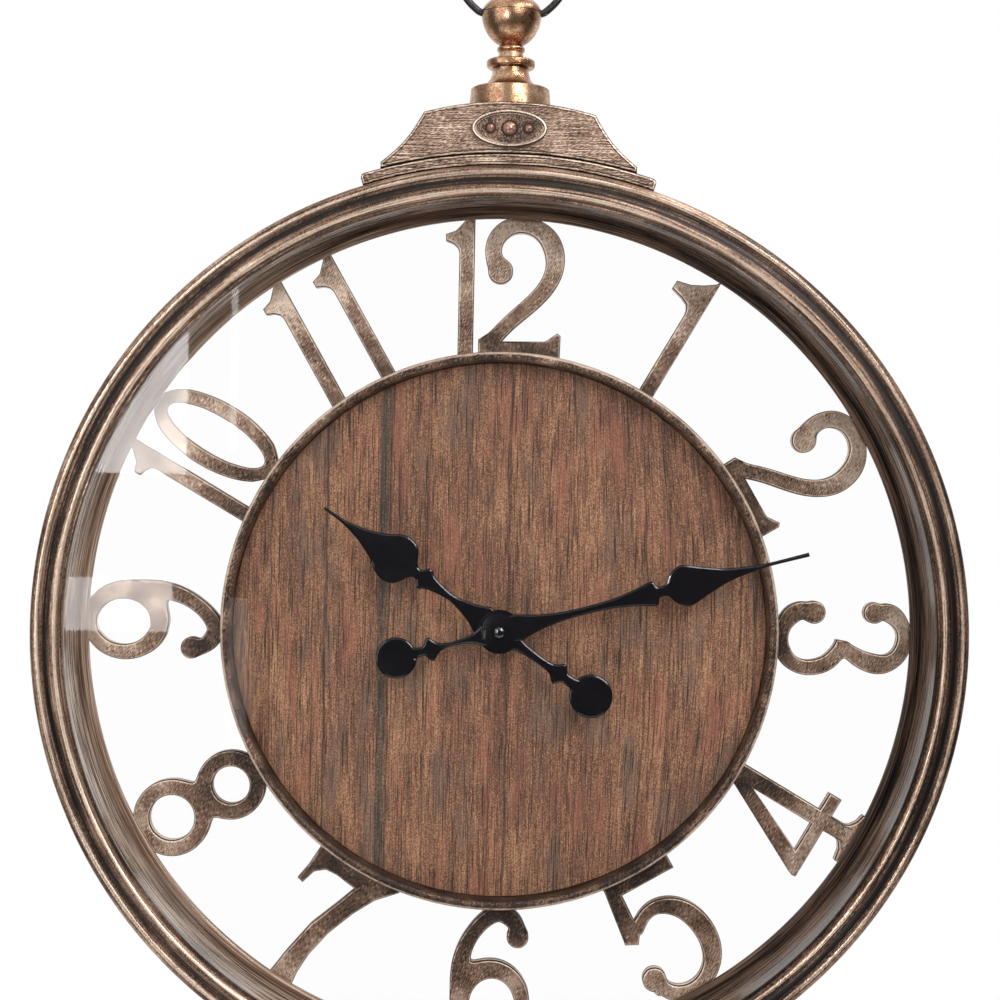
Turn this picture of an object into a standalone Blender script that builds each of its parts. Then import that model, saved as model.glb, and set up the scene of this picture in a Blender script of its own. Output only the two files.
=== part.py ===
"""Round wall clock: openwork number dial, wood centre, crowned top and a two-hand quartz movement.

Metres, +Z up, and the front faces -Y. The origin is the nail on the wall plane. A depth is the distance in front
of the wall, so a point at a depth lies at y = -depth. Clock angles run clockwise from twelve, seen from the front.
"""

import math

import bmesh
import bpy
from mathutils import Vector
from mathutils.geometry import interpolate_bezier

# Clearances
SEAT_GAP = 0.0003
RUNNING_GAP = 0.00015
CUT_OVERRUN = 0.002
JOIN_OVERLAP = 0.0004
MERGE_DISTANCE = 0.000001

# Facets
RING_SEGMENTS = 48
PART_SEGMENTS = 20
SMALL_SEGMENTS = 12
SCREW_SEGMENTS = 8
PIN_SEGMENTS = 10
ARC_STEPS = 6
BEAD_STEPS = 5
CURVE_STEPS = 2
HANDLE_SHARE = 1 / 6
STROKE_TOLERANCE_SHARE = 0.006
HAND_TOLERANCE = 0.0002
SHARP_ANGLE = math.radians(35)

# Case ring, one moulding that is open behind. An inset is measured inwards from its side, and a rise is how much
# farther forward than the middle of the front bead a place lies.
CASE_SIDE_RADIUS = 0.2512
CASE_WALL = 0.0035
FRONT_BEAD_RADIUS = 0.0035
FRONT_BEAD_INSET = 0.0007
FRONT_BEAD_DEPTH = 0.066
GROOVE_INSET = 0.0046
GROOVE_RISE = 0.0025
RIDGE_OUTER_INSET = 0.0058
RIDGE_OUTER_RISE = 0.0042
RIDGE_INNER_INSET = 0.0080
RIDGE_INNER_RISE = 0.0045
LENS_BEAD_RADIUS = 0.0037
LENS_BEAD_INSET = 0.0113
LENS_BEAD_RISE = 0.0068
LIP_INSET = 0.0164
LIP_RISE = 0.0080
SHELL_FRONT_DROP = 0.006
RECESS_STEP_DROP = 0.002
SHELL_FRONT_DEPTH = FRONT_BEAD_DEPTH - SHELL_FRONT_DROP

# Hanging point
NAIL_INSET = 0.0092
NAIL_RADIUS = CASE_SIDE_RADIUS - NAIL_INSET

# Lens and the sleeve that holds it forward
LENS_INSET = 0.0102
LENS_RADIUS = CASE_SIDE_RADIUS - LENS_INSET
LENS_THICKNESS = 0.0025
LENS_RISE = 0.0059
LENS_FRONT_DEPTH = FRONT_BEAD_DEPTH + LENS_RISE
SLEEVE_ROOM = 0.001
SLEEVE_WALL = 0.0016
SLEEVE_RADIUS = LENS_RADIUS - SLEEVE_ROOM

# Screws
SCREW_RADIUS = 0.00125
SCREW_HEAD_RADIUS = 0.0026
SCREW_HEAD_HEIGHT = 0.0018
SCREW_HEAD_ROUND = 0.0011
SCREW_GRIP = 0.008
BOSS_RADIUS = 0.0036
BOSS_SINK = 0.0005
BOSS_PLACE_RADIUS = CASE_SIDE_RADIUS - CASE_WALL - BOSS_RADIUS + BOSS_SINK
DIAL_SCREW_ANGLES = (60, 120, 180, 240, 300)

# Dial, one casting. A drop is how much farther back a place lies than the back of the flange.
FLANGE_BACK_DEPTH = 0.0176
FLANGE_THICKNESS = 0.0032
FLANGE_STEP = 0.001
FLANGE_INSET = 0.0197
FLANGE_STEP_INSET = 0.0144
FLANGE_FRONT_DEPTH = FLANGE_BACK_DEPTH + FLANGE_THICKNESS
FLANGE_STEP_DEPTH = FLANGE_FRONT_DEPTH - FLANGE_STEP
FLANGE_INNER_RADIUS = CASE_SIDE_RADIUS - FLANGE_INSET
FLANGE_STEP_RADIUS = CASE_SIDE_RADIUS - FLANGE_STEP_INSET
NUMBER_DROP = 0.0056
NUMBER_THICKNESS = 0.008
NUMBER_BACK_DEPTH = FLANGE_BACK_DEPTH - NUMBER_DROP
NUMBER_FRONT_DEPTH = NUMBER_BACK_DEPTH + NUMBER_THICKNESS
INNER_RING_RADIUS = 0.1557
INNER_RING_THICKNESS = 0.0055
INNER_RING_HEIGHT = 0.023
INNER_RING_CREST_DEPTH = NUMBER_BACK_DEPTH + INNER_RING_HEIGHT
LEDGE_WIDTH = 0.0062
LEDGE_THICKNESS = 0.002
LEDGE_DROP = 0.0008
LEDGE_FRONT_DEPTH = NUMBER_FRONT_DEPTH - LEDGE_DROP

# Wood disc
WOOD_THICKNESS = 0.003

# Hanger plate
HANGER_THICKNESS = 0.0015
HANGER_DEPTH = 0.004
HANGER_HALF_WIDTH = 0.0326
HANGER_LOW_INSET = 0.0176
HANGER_LOW_RADIUS = CASE_SIDE_RADIUS - HANGER_LOW_INSET
HANGER_FLAT_HALF_WIDTH = 0.015
HANGER_FOOT_INNER = 0.0225
SLOT_RADIUS = 0.0018
KEYHOLE_RADIUS = 0.0033
KEYHOLE_DROP = 0.0036

# Crown plate and strip above the case
CROWN_BACK_DEPTH = 0.018
CROWN_FRONT_DEPTH = FRONT_BEAD_DEPTH
STRIP_THICKNESS = 0.0092
STRIP_OUTER_RADIUS = CASE_SIDE_RADIUS + STRIP_THICKNESS
STRIP_HALF_WIDTH = 0.0806
STRIP_CORNER_RADIUS = 0.0025
CROWN_HEIGHT = 0.0282
CREST_RADIUS = STRIP_OUTER_RADIUS + CROWN_HEIGHT
CREST_ARC_RADIUS = 0.169
SHOULDER_HALF_WIDTH = 0.0465
FOOT_HALF_WIDTH = 0.0694
FOOT_EDGE = 0.0032
SIDE_SAG = 0.0022
CROWN_SCREW_PLACE_SHARE = 0.715
CROWN_SCREW_LENGTH = 0.018

# Medallion
MEDALLION_RISE = 0.0132
MEDALLION_HEIGHT = STRIP_OUTER_RADIUS + MEDALLION_RISE
MEDALLION_HALF_WIDTH = 0.0204
MEDALLION_HALF_HEIGHT = 0.0102
MEDALLION_RIM = 0.0018
MEDALLION_THICKNESS = 0.0030
MEDALLION_FIELD_DROP = 0.0012
RIM_SHARES = (0.3, 0.8)
MIDDLE_BEAD_RADIUS = 0.0037
SIDE_BEAD_RADIUS = 0.0023
SIDE_BEAD_OFFSET = 0.0103

# Crown flange, collar and knob, stacked upwards from the floor of the crown plate's pocket
CROWN_AXIS_DEPTH = (CROWN_BACK_DEPTH + CROWN_FRONT_DEPTH) / 2
POCKET_DEPTH = 0.0031
POCKET_FLOOR = CREST_RADIUS - POCKET_DEPTH
DRUM_HEIGHT = 0.0143
DRUM_TOP = POCKET_FLOOR + DRUM_HEIGHT
DRUM_LOW_RADIUS = 0.0228
DRUM_TOP_RADIUS = 0.0213
FLARE_HEIGHT = 0.0107
FLARE_LOW_RADIUS = 0.0176
FLARE_TOP = DRUM_TOP + FLARE_HEIGHT
FLARE_TOP_RADIUS = 0.010
FLARE_POWER_SHARE = 1.6
COLLAR_HEIGHT = 0.0053
COLLAR_TOP = FLARE_TOP + COLLAR_HEIGHT
COLLAR_RADIUS = 0.0133
COLLAR_ROUND = 0.0015
NECK_HEIGHT = 0.0041
NECK_TOP = COLLAR_TOP + NECK_HEIGHT
NECK_RADIUS = 0.0066
NECK_BEAD_HEIGHT = 0.0035
NECK_BEAD_RADIUS = 0.0077
NECK_BEAD_TOP = NECK_TOP + NECK_BEAD_HEIGHT
GROOVE_RADIUS = 0.006
KNOB_LOWER_HEIGHT = 0.0183
SEAM_HEIGHT = NECK_BEAD_TOP + KNOB_LOWER_HEIGHT
KNOB_RADIUS = 0.0165
CAP_HEIGHT = 0.0097
ROD_RADIUS = 0.0018
ROD_SINK = 0.0175
ROD_REACH = 0.0048
ROD_FOOT = POCKET_FLOOR - ROD_SINK
ROD_TOP = SEAM_HEIGHT + ROD_REACH

# Bow
BOW_WIRE_RADIUS = 0.00205
BOW_RING_RADIUS = 0.0314
BOW_RING_RISE = 0.0266
BOW_PIN_SINK = 0.006
BOW_BEND_SINK = 0.001
BOW_BEND_SHIFT = 0.00026
BOW_PIN_INNER = KNOB_RADIUS - BOW_PIN_SINK
BOW_PIN_OUTER = KNOB_RADIUS - BOW_BEND_SINK
BOW_START_ANGLE = 39.0
BOW_POINTS = 24

# Stack that clamps the movement to the wood disc
WASHER_RADIUS = 0.007
WASHER_THICKNESS = 0.0005
NUT_ACROSS_FLATS = 0.011
NUT_THICKNESS = 0.003
GASKET_RADIUS = 0.0155
GASKET_THICKNESS = 0.001

# Gear train: teeth, and the distance between the two axes of each mesh
TOOTH_ADDENDUM_SHARE = 0.8
TOOTH_DEDENDUM_SHARE = 1.2
TOOTH_TIP_SHARE = 0.16
TOOTH_ROOT_SHARE = 0.46
WHEEL_DEDENDUM_SHARE = 2.1
PINION_TEETH = 8
CENTRE_TEETH = 60
THIRD_TEETH = 48
INTERMEDIATE_TEETH = 32
MOTION_TEETH = 24
HOUR_TEETH = 32
MOTION_DISTANCE = 0.010
THIRD_DISTANCE = 0.0136
INTERMEDIATE_DISTANCE = 0.0098
ROTOR_DISTANCE = 0.007
MOTION_DIRECTION = 270
THIRD_DIRECTION = 30
INTERMEDIATE_DIRECTION = 300
ROTOR_DIRECTION = 270
CENTRE_WHEEL_RADIUS = THIRD_DISTANCE * CENTRE_TEETH / (CENTRE_TEETH + PINION_TEETH)

# Battery and its contacts
BATTERY_RADIUS = 0.00725
BATTERY_LENGTH = 0.0493
BATTERY_NUB_RADIUS = 0.00275
BATTERY_NUB = 0.0012
BATTERY_ROOM = 0.0012
CONTACT_THICKNESS = 0.0005
CONTACT_WIDTH = 0.009
CONTACT_ROOM = 0.00045

# Movement case, its places measured from the hand arbor
MOVEMENT_DEPTH = 0.0142
CASE_FRONT_DEPTH = LEDGE_FRONT_DEPTH - SEAT_GAP - GASKET_THICKNESS
CASE_BACK_DEPTH = CASE_FRONT_DEPTH - MOVEMENT_DEPTH
MOVEMENT_WALL = 0.0015
BATTERY_FRONT_WALL = 0.0011
CASE_HALF_WIDTH = (BATTERY_LENGTH + BATTERY_NUB) / 2 + SEAT_GAP + CONTACT_THICKNESS + CONTACT_ROOM + MOVEMENT_WALL
CASE_TOP = 0.0245
CENTRE_WHEEL_ROOM = 0.0008
PARTITION_TOP = -CENTRE_WHEEL_RADIUS - CENTRE_WHEEL_ROOM
CASE_BOTTOM = PARTITION_TOP - MOVEMENT_WALL * 2 - BATTERY_RADIUS * 2 - BATTERY_ROOM
BUSH_RADIUS = 0.004
BUSH_BORE_RADIUS = 0.00305
BUSH_LENGTH = 0.0156
BUSH_FRONT_DEPTH = CASE_FRONT_DEPTH + BUSH_LENGTH
COVER_THICKNESS = 0.0013
BEARING_DEPTH = 0.0008
PIVOT_RADIUS = 0.00045

# Wheels and arbors. A rise is how much farther forward a place lies than the back of the movement case.
WHEEL_THICKNESS = 0.0011
THIN_WHEEL_THICKNESS = 0.0009
PINION_OVERLAP = 0.0003
INTERMEDIATE_WHEEL_RISE = 0.0032
THIRD_WHEEL_RISE = 0.0049
CENTRE_WHEEL_RISE = 0.0073
MOTION_WHEEL_RISE = 0.0095
HOUR_WHEEL_RISE = 0.0113
INTERMEDIATE_WHEEL_DEPTH = CASE_BACK_DEPTH + INTERMEDIATE_WHEEL_RISE
THIRD_WHEEL_DEPTH = CASE_BACK_DEPTH + THIRD_WHEEL_RISE
CENTRE_WHEEL_DEPTH = CASE_BACK_DEPTH + CENTRE_WHEEL_RISE
MOTION_WHEEL_DEPTH = CASE_BACK_DEPTH + MOTION_WHEEL_RISE
HOUR_WHEEL_DEPTH = CASE_BACK_DEPTH + HOUR_WHEEL_RISE
MAGNET_RADIUS = 0.003
MAGNET_LENGTH = 0.0028
STATOR_RISE = 0.0055
MAGNET_BACK_DEPTH = CASE_BACK_DEPTH + STATOR_RISE
MAGNET_FRONT_DEPTH = MAGNET_BACK_DEPTH + MAGNET_LENGTH
MINUTE_ARBOR_RADIUS = 0.00165
ARBOR_TAIL_RADIUS = 0.0011
ARBOR_TAIL = 0.0021
ARBOR_TAIL_DEPTH = CASE_BACK_DEPTH - ARBOR_TAIL
HOUR_TUBE_WALL = 0.00075
POST_RADIUS = 0.0008
SETTING_KNOB_RADIUS = 0.006
SETTING_KNOB_FLOOR = 0.0006
SETTING_KNOB_NOTCHES = 12
SETTING_KNOB_NOTCH = 0.0004
KNOB_BACK_DEPTH = ARBOR_TAIL_DEPTH - SETTING_KNOB_FLOOR

# Stator, coil and circuit board
STATOR_THICKNESS = 0.001
STATOR_DEPTH = MAGNET_BACK_DEPTH
STATOR_ARM = 0.0029
STATOR_CHAMFER = 0.0022
STATOR_UNDER = 0.0023
STATOR_LOW = 0.001
STATOR_RIM = 0.0011
COIL_OFFSET = 0.0223
COIL_RADIUS = 0.0032
COIL_CHEEK_RADIUS = 0.0038
COIL_CHEEK = 0.0008
COIL_CORE_WIDTH = 0.003
BOARD_LEFT = 0.0105
BOARD_TOP = 0.008
BOARD_THICKNESS = 0.001
CHIP_RADIUS = 0.003
CHIP_TOP_RADIUS = 0.0021
CHIP_HEIGHT = 0.001
CHIP_SHOULDER = 0.0007

# Hands
HAND_THICKNESS = 0.0008
HAND_RISE = 0.0051
HAND_STEP = 0.0038
HOUR_HAND_DEPTH = BUSH_FRONT_DEPTH + HAND_RISE
MINUTE_HAND_DEPTH = HOUR_HAND_DEPTH + HAND_STEP
HOUR_HAND_ANGLE = 304.1
MINUTE_HAND_ANGLE = 74.8
HOUR_HAND_LENGTH = 0.1188
MINUTE_HAND_LENGTH = 0.1764
HOUR_SPADE_HALF_WIDTH = 0.0139
MINUTE_SPADE_HALF_WIDTH = 0.0114
HOUR_TAIL_PLACE = 0.062
HOUR_TAIL_RADIUS = 0.0121
MINUTE_TAIL_PLACE = 0.0588
MINUTE_TAIL_RADIUS = 0.0114
HOUR_HUB_RADIUS = 0.0122
MINUTE_HUB_RADIUS = 0.0102
HUB_CREST_RADIUS = 0.0052
HUB_SHOULDER = 0.0007
HUB_DOME = 0.0012
HAND_COLLAR_RADIUS = 0.0046
HAND_COLLAR_LENGTH = 0.0022
HAND_NUT_RADIUS = 0.0031
HAND_NUT_HEIGHT = 0.0024
HAND_NUT_SOCKET = 0.0012

# Hand outlines: place along the hand as a share of its length, half width as a share of the spade's half width
HOUR_HAND_SHARES = (
    (1.0, 0.06), (0.90, 0.08), (0.80, 0.24), (0.70, 0.56), (0.635, 0.91), (0.58, 1.0), (0.53, 0.82),
    (0.49, 0.30), (0.462, 0.23), (0.43, 0.47), (0.385, 0.28), (0.30, 0.155), (0.25, 0.17), (0.16, 0.36), (0.10, 0.60),
)
HOUR_TAIL_SHARES = ((-0.06, 0.60), (-0.12, 0.24), (-0.28, 0.18), (-0.34, 0.46), (-0.375, 0.22), (-0.43, 0.24))
MINUTE_HAND_SHARES = (
    (1.0, 0.10), (0.86, 0.09), (0.80, 0.18), (0.735, 0.34), (0.66, 0.72), (0.61, 1.0), (0.585, 0.96),
    (0.56, 0.70), (0.54, 0.30), (0.515, 0.28), (0.50, 0.60), (0.45, 0.44), (0.37, 0.24), (0.28, 0.19),
    (0.20, 0.23), (0.13, 0.38), (0.06, 0.66),
)
MINUTE_TAIL_SHARES = ((-0.04, 0.60), (-0.10, 0.18), (-0.185, 0.16), (-0.222, 0.58), (-0.245, 0.24), (-0.275, 0.28))

# Numbers: each point is (across, up) or (across, up, stroke width), as shares of the gap between the two rings
ONE_SHARES = (
    (0.057, -0.05), (0.057, 1.02), (0.020, 1.02), (0.010, 0.975), (-0.030, 0.950), (-0.085, 0.905), (-0.159, 0.878),
    (-0.177, 0.857), (-0.158, 0.832), (-0.104, 0.811), (-0.069, 0.781), (-0.057, 0.740), (-0.057, -0.05),
)
WIDE_ONE_SHARES = (
    (0.057, -0.05), (0.057, 1.02), (0.030, 0.975), (-0.052, 0.918), (-0.134, 0.875), (-0.236, 0.850),
    (-0.237, 0.785), (-0.143, 0.762), (-0.085, 0.736), (-0.064, 0.700), (-0.057, 0.660), (-0.057, -0.05),
)
ZERO_HALF_SHARES = ((0.2495, 0.53), (0.137, 0.43))
TWO_BALL_SHARES = (-0.180, 0.611, 0.095)
TWO_STROKE_SHARES = (
    (-0.213, 0.650, 0.13), (-0.240, 0.755, 0.125), (-0.212, 0.863, 0.127), (-0.120, 0.945, 0.125),
    (0.000, 0.960, 0.120), (0.110, 0.920, 0.130), (0.191, 0.835, 0.148), (0.228, 0.705, 0.145), (0.205, 0.570, 0.133),
    (0.120, 0.440, 0.120), (0.004, 0.329, 0.115), (-0.125, 0.215, 0.110), (-0.235, 0.090, 0.110),
)
TWO_FOOT_SHARES = (
    (-0.335, -0.06), (0.270, -0.06), (0.275, 0.135), (0.250, 0.155), (0.215, 0.130), (0.160, 0.092),
    (-0.200, 0.088), (-0.285, 0.135), (-0.338, 0.098),
)
THREE_LOW_BALL_SHARES = (-0.174, 0.284, 0.087)
THREE_HIGH_BALL_SHARES = (-0.178, 0.732, 0.081)
THREE_LOW_SHARES = (
    (-0.185, 0.250, 0.09), (-0.161, 0.150, 0.13), (-0.080, 0.062, 0.115), (0.042, 0.036, 0.11), (0.165, 0.083, 0.113),
    (0.225, 0.167, 0.113), (0.239, 0.268, 0.113), (0.204, 0.389, 0.117), (0.110, 0.470, 0.10), (0.030, 0.490, 0.07),
)
THREE_HIGH_SHARES = (
    (-0.185, 0.770, 0.09), (-0.160, 0.860, 0.13), (-0.097, 0.935, 0.113), (0.000, 0.965, 0.11), (0.115, 0.935, 0.113),
    (0.187, 0.860, 0.122), (0.207, 0.764, 0.150), (0.172, 0.640, 0.138), (0.100, 0.540, 0.10), (0.050, 0.497, 0.08),
)
FOUR_STEM_SHARES = ((-0.036, -0.02), (0.088, -0.02), (0.088, 1.03), (-0.036, 1.03))
FOUR_SLANT_SHARES = ((0.010, 1.03), (-0.045, 1.03), (-0.431, 0.273), (-0.431, 0.250), (-0.300, 0.250), (0.010, 0.925))
FOUR_BAR_SHARES = ((-0.431, 0.22), (0.230, 0.22), (0.230, 0.32), (-0.400, 0.32))
FOUR_FOOT_SHARES = (
    (-0.180, -0.03), (0.216, -0.03), (0.216, 0.020), (0.150, 0.036), (0.105, 0.068), (0.080, 0.115),
    (-0.030, 0.115), (-0.052, 0.078), (-0.094, 0.050), (-0.180, 0.034),
)
FIVE_BAR_SHARES = ((-0.260, 0.880), (0.280, 0.880), (0.280, 1.04), (-0.260, 1.04))
FIVE_STEM_SHARES = (
    (-0.261, 0.960), (-0.314, 0.545), (-0.224, 0.500), (-0.172, 0.575), (-0.166, 0.711), (-0.156, 0.900),
)
FIVE_STROKE_SHARES = (
    (-0.200, 0.570, 0.09), (-0.125, 0.645, 0.09), (-0.010, 0.688, 0.10), (0.110, 0.650, 0.125), (0.207, 0.550, 0.147),
    (0.257, 0.400, 0.158), (0.252, 0.250, 0.153), (0.195, 0.120, 0.130), (0.080, 0.030, 0.115),
    (-0.055, 0.008, 0.115), (-0.170, 0.055, 0.120), (-0.235, 0.150, 0.100),
)
FIVE_BALL_SHARES = (-0.247, 0.215, 0.092)
SIX_BALL_SHARES = (0.181, 0.768, 0.083)
SIX_STROKE_SHARES = (
    (0.195, 0.800, 0.09), (0.150, 0.888, 0.125), (0.050, 0.945, 0.125), (-0.045, 0.905, 0.115), (-0.125, 0.825, 0.108),
    (-0.185, 0.735, 0.112), (-0.224, 0.637, 0.122), (-0.243, 0.525, 0.139), (-0.248, 0.400, 0.140), (-0.246, 0.29, 0.13),
)
SIX_OUTER_SHARES = (-0.017, 0.2765, 0.302, 0.3265)
SIX_INNER_SHARES = (-0.0035, 0.2565, 0.1735, 0.2065)
SEVEN_SHARES = (
    (-0.311, 0.811), (-0.299, 1.045), (0.385, 1.045), (0.373, 0.989), (0.250, 0.849), (0.162, 0.682), (0.079, 0.462),
    (0.036, 0.256), (0.030, 0.093), (0.044, -0.03), (-0.152, -0.03), (-0.121, 0.200), (-0.069, 0.458), (0.012, 0.667),
    (0.077, 0.847), (-0.091, 0.866), (-0.181, 0.859), (-0.249, 0.801), (-0.281, 0.690), (-0.331, 0.700),
)
EIGHT_SMALL_SHARES = (0.05, 0.747, 0.264, 0.143)
EIGHT_LARGE_SHARES = (0.05, 0.245, 0.294, 0.173)
# Digits of each hour, each with its shift across and its lean
WIDE_ONE = "wide one"
HOUR_DIGIT_SHARES = {
    1: ((WIDE_ONE, 0.025, 0),), 2: ((2, 0.0225, 0.045),), 3: ((3, 0, 0),), 4: ((4, 0, 0),), 5: ((5, 0, 0),),
    6: ((6, 0, 0),), 7: ((7, 0, 0),), 8: ((8, 0, 0),), 9: ((9, 0, 0),), 10: ((1, -0.243, 0), (0, 0.145, 0)),
    11: ((1, -0.232, 0), (1, 0.19, 0)), 12: ((1, -0.296, 0), (2, 0.1365, 0)),
}
UPSIDE_DOWN_HOURS = (4, 5, 6, 7, 8)

# Finish of each material: linear colour, roughness, metallic
BRONZE = ((0.070, 0.034, 0.018), 0.42, 0.55)
BROWN_GLOSS = ((0.055, 0.040, 0.034), 0.22, 0.2)
GLASS = ((0.80, 0.84, 0.84), 0.05, 0.0)
WOOD = ((0.300, 0.130, 0.068), 0.6, 0.0)
STEEL = ((0.55, 0.55, 0.56), 0.35, 1.0)
BLACK_GLOSS = ((0.006, 0.006, 0.006), 0.18, 0.0)
BLACK_PLASTIC = ((0.015, 0.015, 0.016), 0.5, 0.0)
WHITE_PLASTIC = ((0.70, 0.69, 0.64), 0.5, 0.0)
BRASS = ((0.70, 0.48, 0.16), 0.3, 1.0)
COPPER = ((0.75, 0.28, 0.12), 0.35, 1.0)
GREEN_BOARD = ((0.02, 0.16, 0.05), 0.4, 0.0)
RUBBER = ((0.02, 0.02, 0.02), 0.85, 0.0)
MAGNET_GREY = ((0.10, 0.10, 0.11), 0.45, 0.6)


def clear_scene():
    """Takes every object and every mesh out of the scene that is open."""
    for thing in list(bpy.data.objects):
        bpy.data.objects.remove(thing)
    for mesh in list(bpy.data.meshes):
        bpy.data.meshes.remove(mesh)


def polar(radius, degrees, across=0.0, up=0.0):
    """Point (across, up) at a clock angle round a centre."""
    angle = math.radians(degrees)
    return across + radius * math.sin(angle), up + radius * math.cos(angle)


def arc(radius, start, end, steps, across=0.0, up=0.0):
    """Points of an arc between two clock angles, both ends included."""
    return [polar(radius, start + (end - start) * i / steps, across, up) for i in range(steps + 1)]


def circle(radius, segments, across=0.0, up=0.0):
    """Points of a whole circle, its first one straight up."""
    return arc(radius, 0, 360, segments, across, up)[:-1]


def smooth_line(points, steps=CURVE_STEPS):
    """Smooth line through points of two or three values, each span a Bezier whose handles follow the neighbours."""
    points = [Vector(point) for point in points]
    line = []
    for i in range(len(points) - 1):
        before = points[max(i - 1, 0)]
        here = points[i]
        after = points[i + 1]
        beyond = points[min(i + 2, len(points) - 1)]
        leave = here + (after - before) * HANDLE_SHARE
        arrive = after - (beyond - here) * HANDLE_SHARE
        line += [tuple(point) for point in interpolate_bezier(here, leave, arrive, after, steps + 1)[:-1]]
    return line + [tuple(points[-1])]


def thinned(line, tolerance):
    """The same open line without the points that lie within a tolerance of the line between those kept."""
    start = Vector(line[0])
    run = Vector(line[-1]) - start
    length = max(run.length, MERGE_DISTANCE)
    away = [abs(run.x * (y - start.y) - run.y * (x - start.x)) / length for x, y in line]
    far = max(range(len(line)), key=away.__getitem__)
    if away[far] <= tolerance:
        return [line[0], line[-1]]
    return thinned(line[: far + 1], tolerance)[:-1] + thinned(line[far:], tolerance)


def stroke_outline(points):
    """Closed outline of a stroke: its centre line is smoothed, and its width changes along it."""
    line = smooth_line(points)
    left = []
    right = []
    for i, (across, up, width) in enumerate(line):
        before = line[max(i - 1, 0)]
        after = line[min(i + 1, len(line) - 1)]
        run = Vector((after[0] - before[0], after[1] - before[1])).normalized()
        left.append((across - run.y * width / 2, up + run.x * width / 2))
        right.append((across + run.y * width / 2, up - run.x * width / 2))
    return thinned(left, STROKE_TOLERANCE_SHARE) + thinned(right, STROKE_TOLERANCE_SHARE)[::-1]


def flat_radius(radius):
    """Distance from the axis to the middle of a facet of a large ring."""
    return radius * math.cos(math.pi / RING_SEGMENTS)


def ellipse(across, up, half_width, half_height, segments=PART_SEGMENTS):
    """Points of an ellipse."""
    return [(across + half_width * x, up + half_height * z) for x, z in circle(1, segments)]


def turned(profile, segments, axis="Y", closed=True):
    """Mesh of a profile of (radius, place along the axis) points, turned a full circle.

    Along Y a place is a depth, and along Z a height. An open profile starts and ends on the axis.
    """
    shape = bmesh.new()
    if axis == "Y":
        points = [shape.verts.new((radius, -along, 0)) for radius, along in profile]
    else:
        points = [shape.verts.new((radius, 0, along)) for radius, along in profile]
    edges = [shape.edges.new(pair) for pair in zip(points, points[1:])]
    if closed:
        edges.append(shape.edges.new((points[-1], points[0])))
    bmesh.ops.spin(
        shape,
        geom=points + edges,
        axis=Vector((0, 1, 0)) if axis == "Y" else Vector((0, 0, 1)),
        angle=math.tau,
        steps=segments,
        use_merge=True,
    )
    bmesh.ops.remove_doubles(shape, verts=shape.verts, dist=MERGE_DISTANCE)
    return shape


def plate(loops, back, front):
    """Mesh of a flat plate between two depths: the first loop of (across, up) points is its edge, others are holes."""
    shape = bmesh.new()
    edges = []
    for loop in loops:
        points = [shape.verts.new((across, -back, up)) for across, up in loop]
        edges += [shape.edges.new(pair) for pair in zip(points, points[1:] + points[:1])]
    bmesh.ops.triangle_fill(shape, use_beauty=True, edges=edges)
    raised = bmesh.ops.extrude_face_region(shape, geom=list(shape.faces))
    moved = [item for item in raised["geom"] if isinstance(item, bmesh.types.BMVert)]
    bmesh.ops.translate(shape, verts=moved, vec=(0, back - front, 0))
    return shape


def box(left, right, low, high, back, front):
    """Mesh of a box between two places across, two heights and two depths."""
    return plate([[(left, low), (right, low), (right, high), (left, high)]], back, front)


def merged(*shapes):
    """One mesh that holds several bodies."""
    whole = shapes[0]
    for shape in shapes[1:]:
        copy = bpy.data.meshes.new("copy")
        shape.to_mesh(copy)
        shape.free()
        whole.from_mesh(copy)
        bpy.data.meshes.remove(copy)
    return whole


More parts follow.
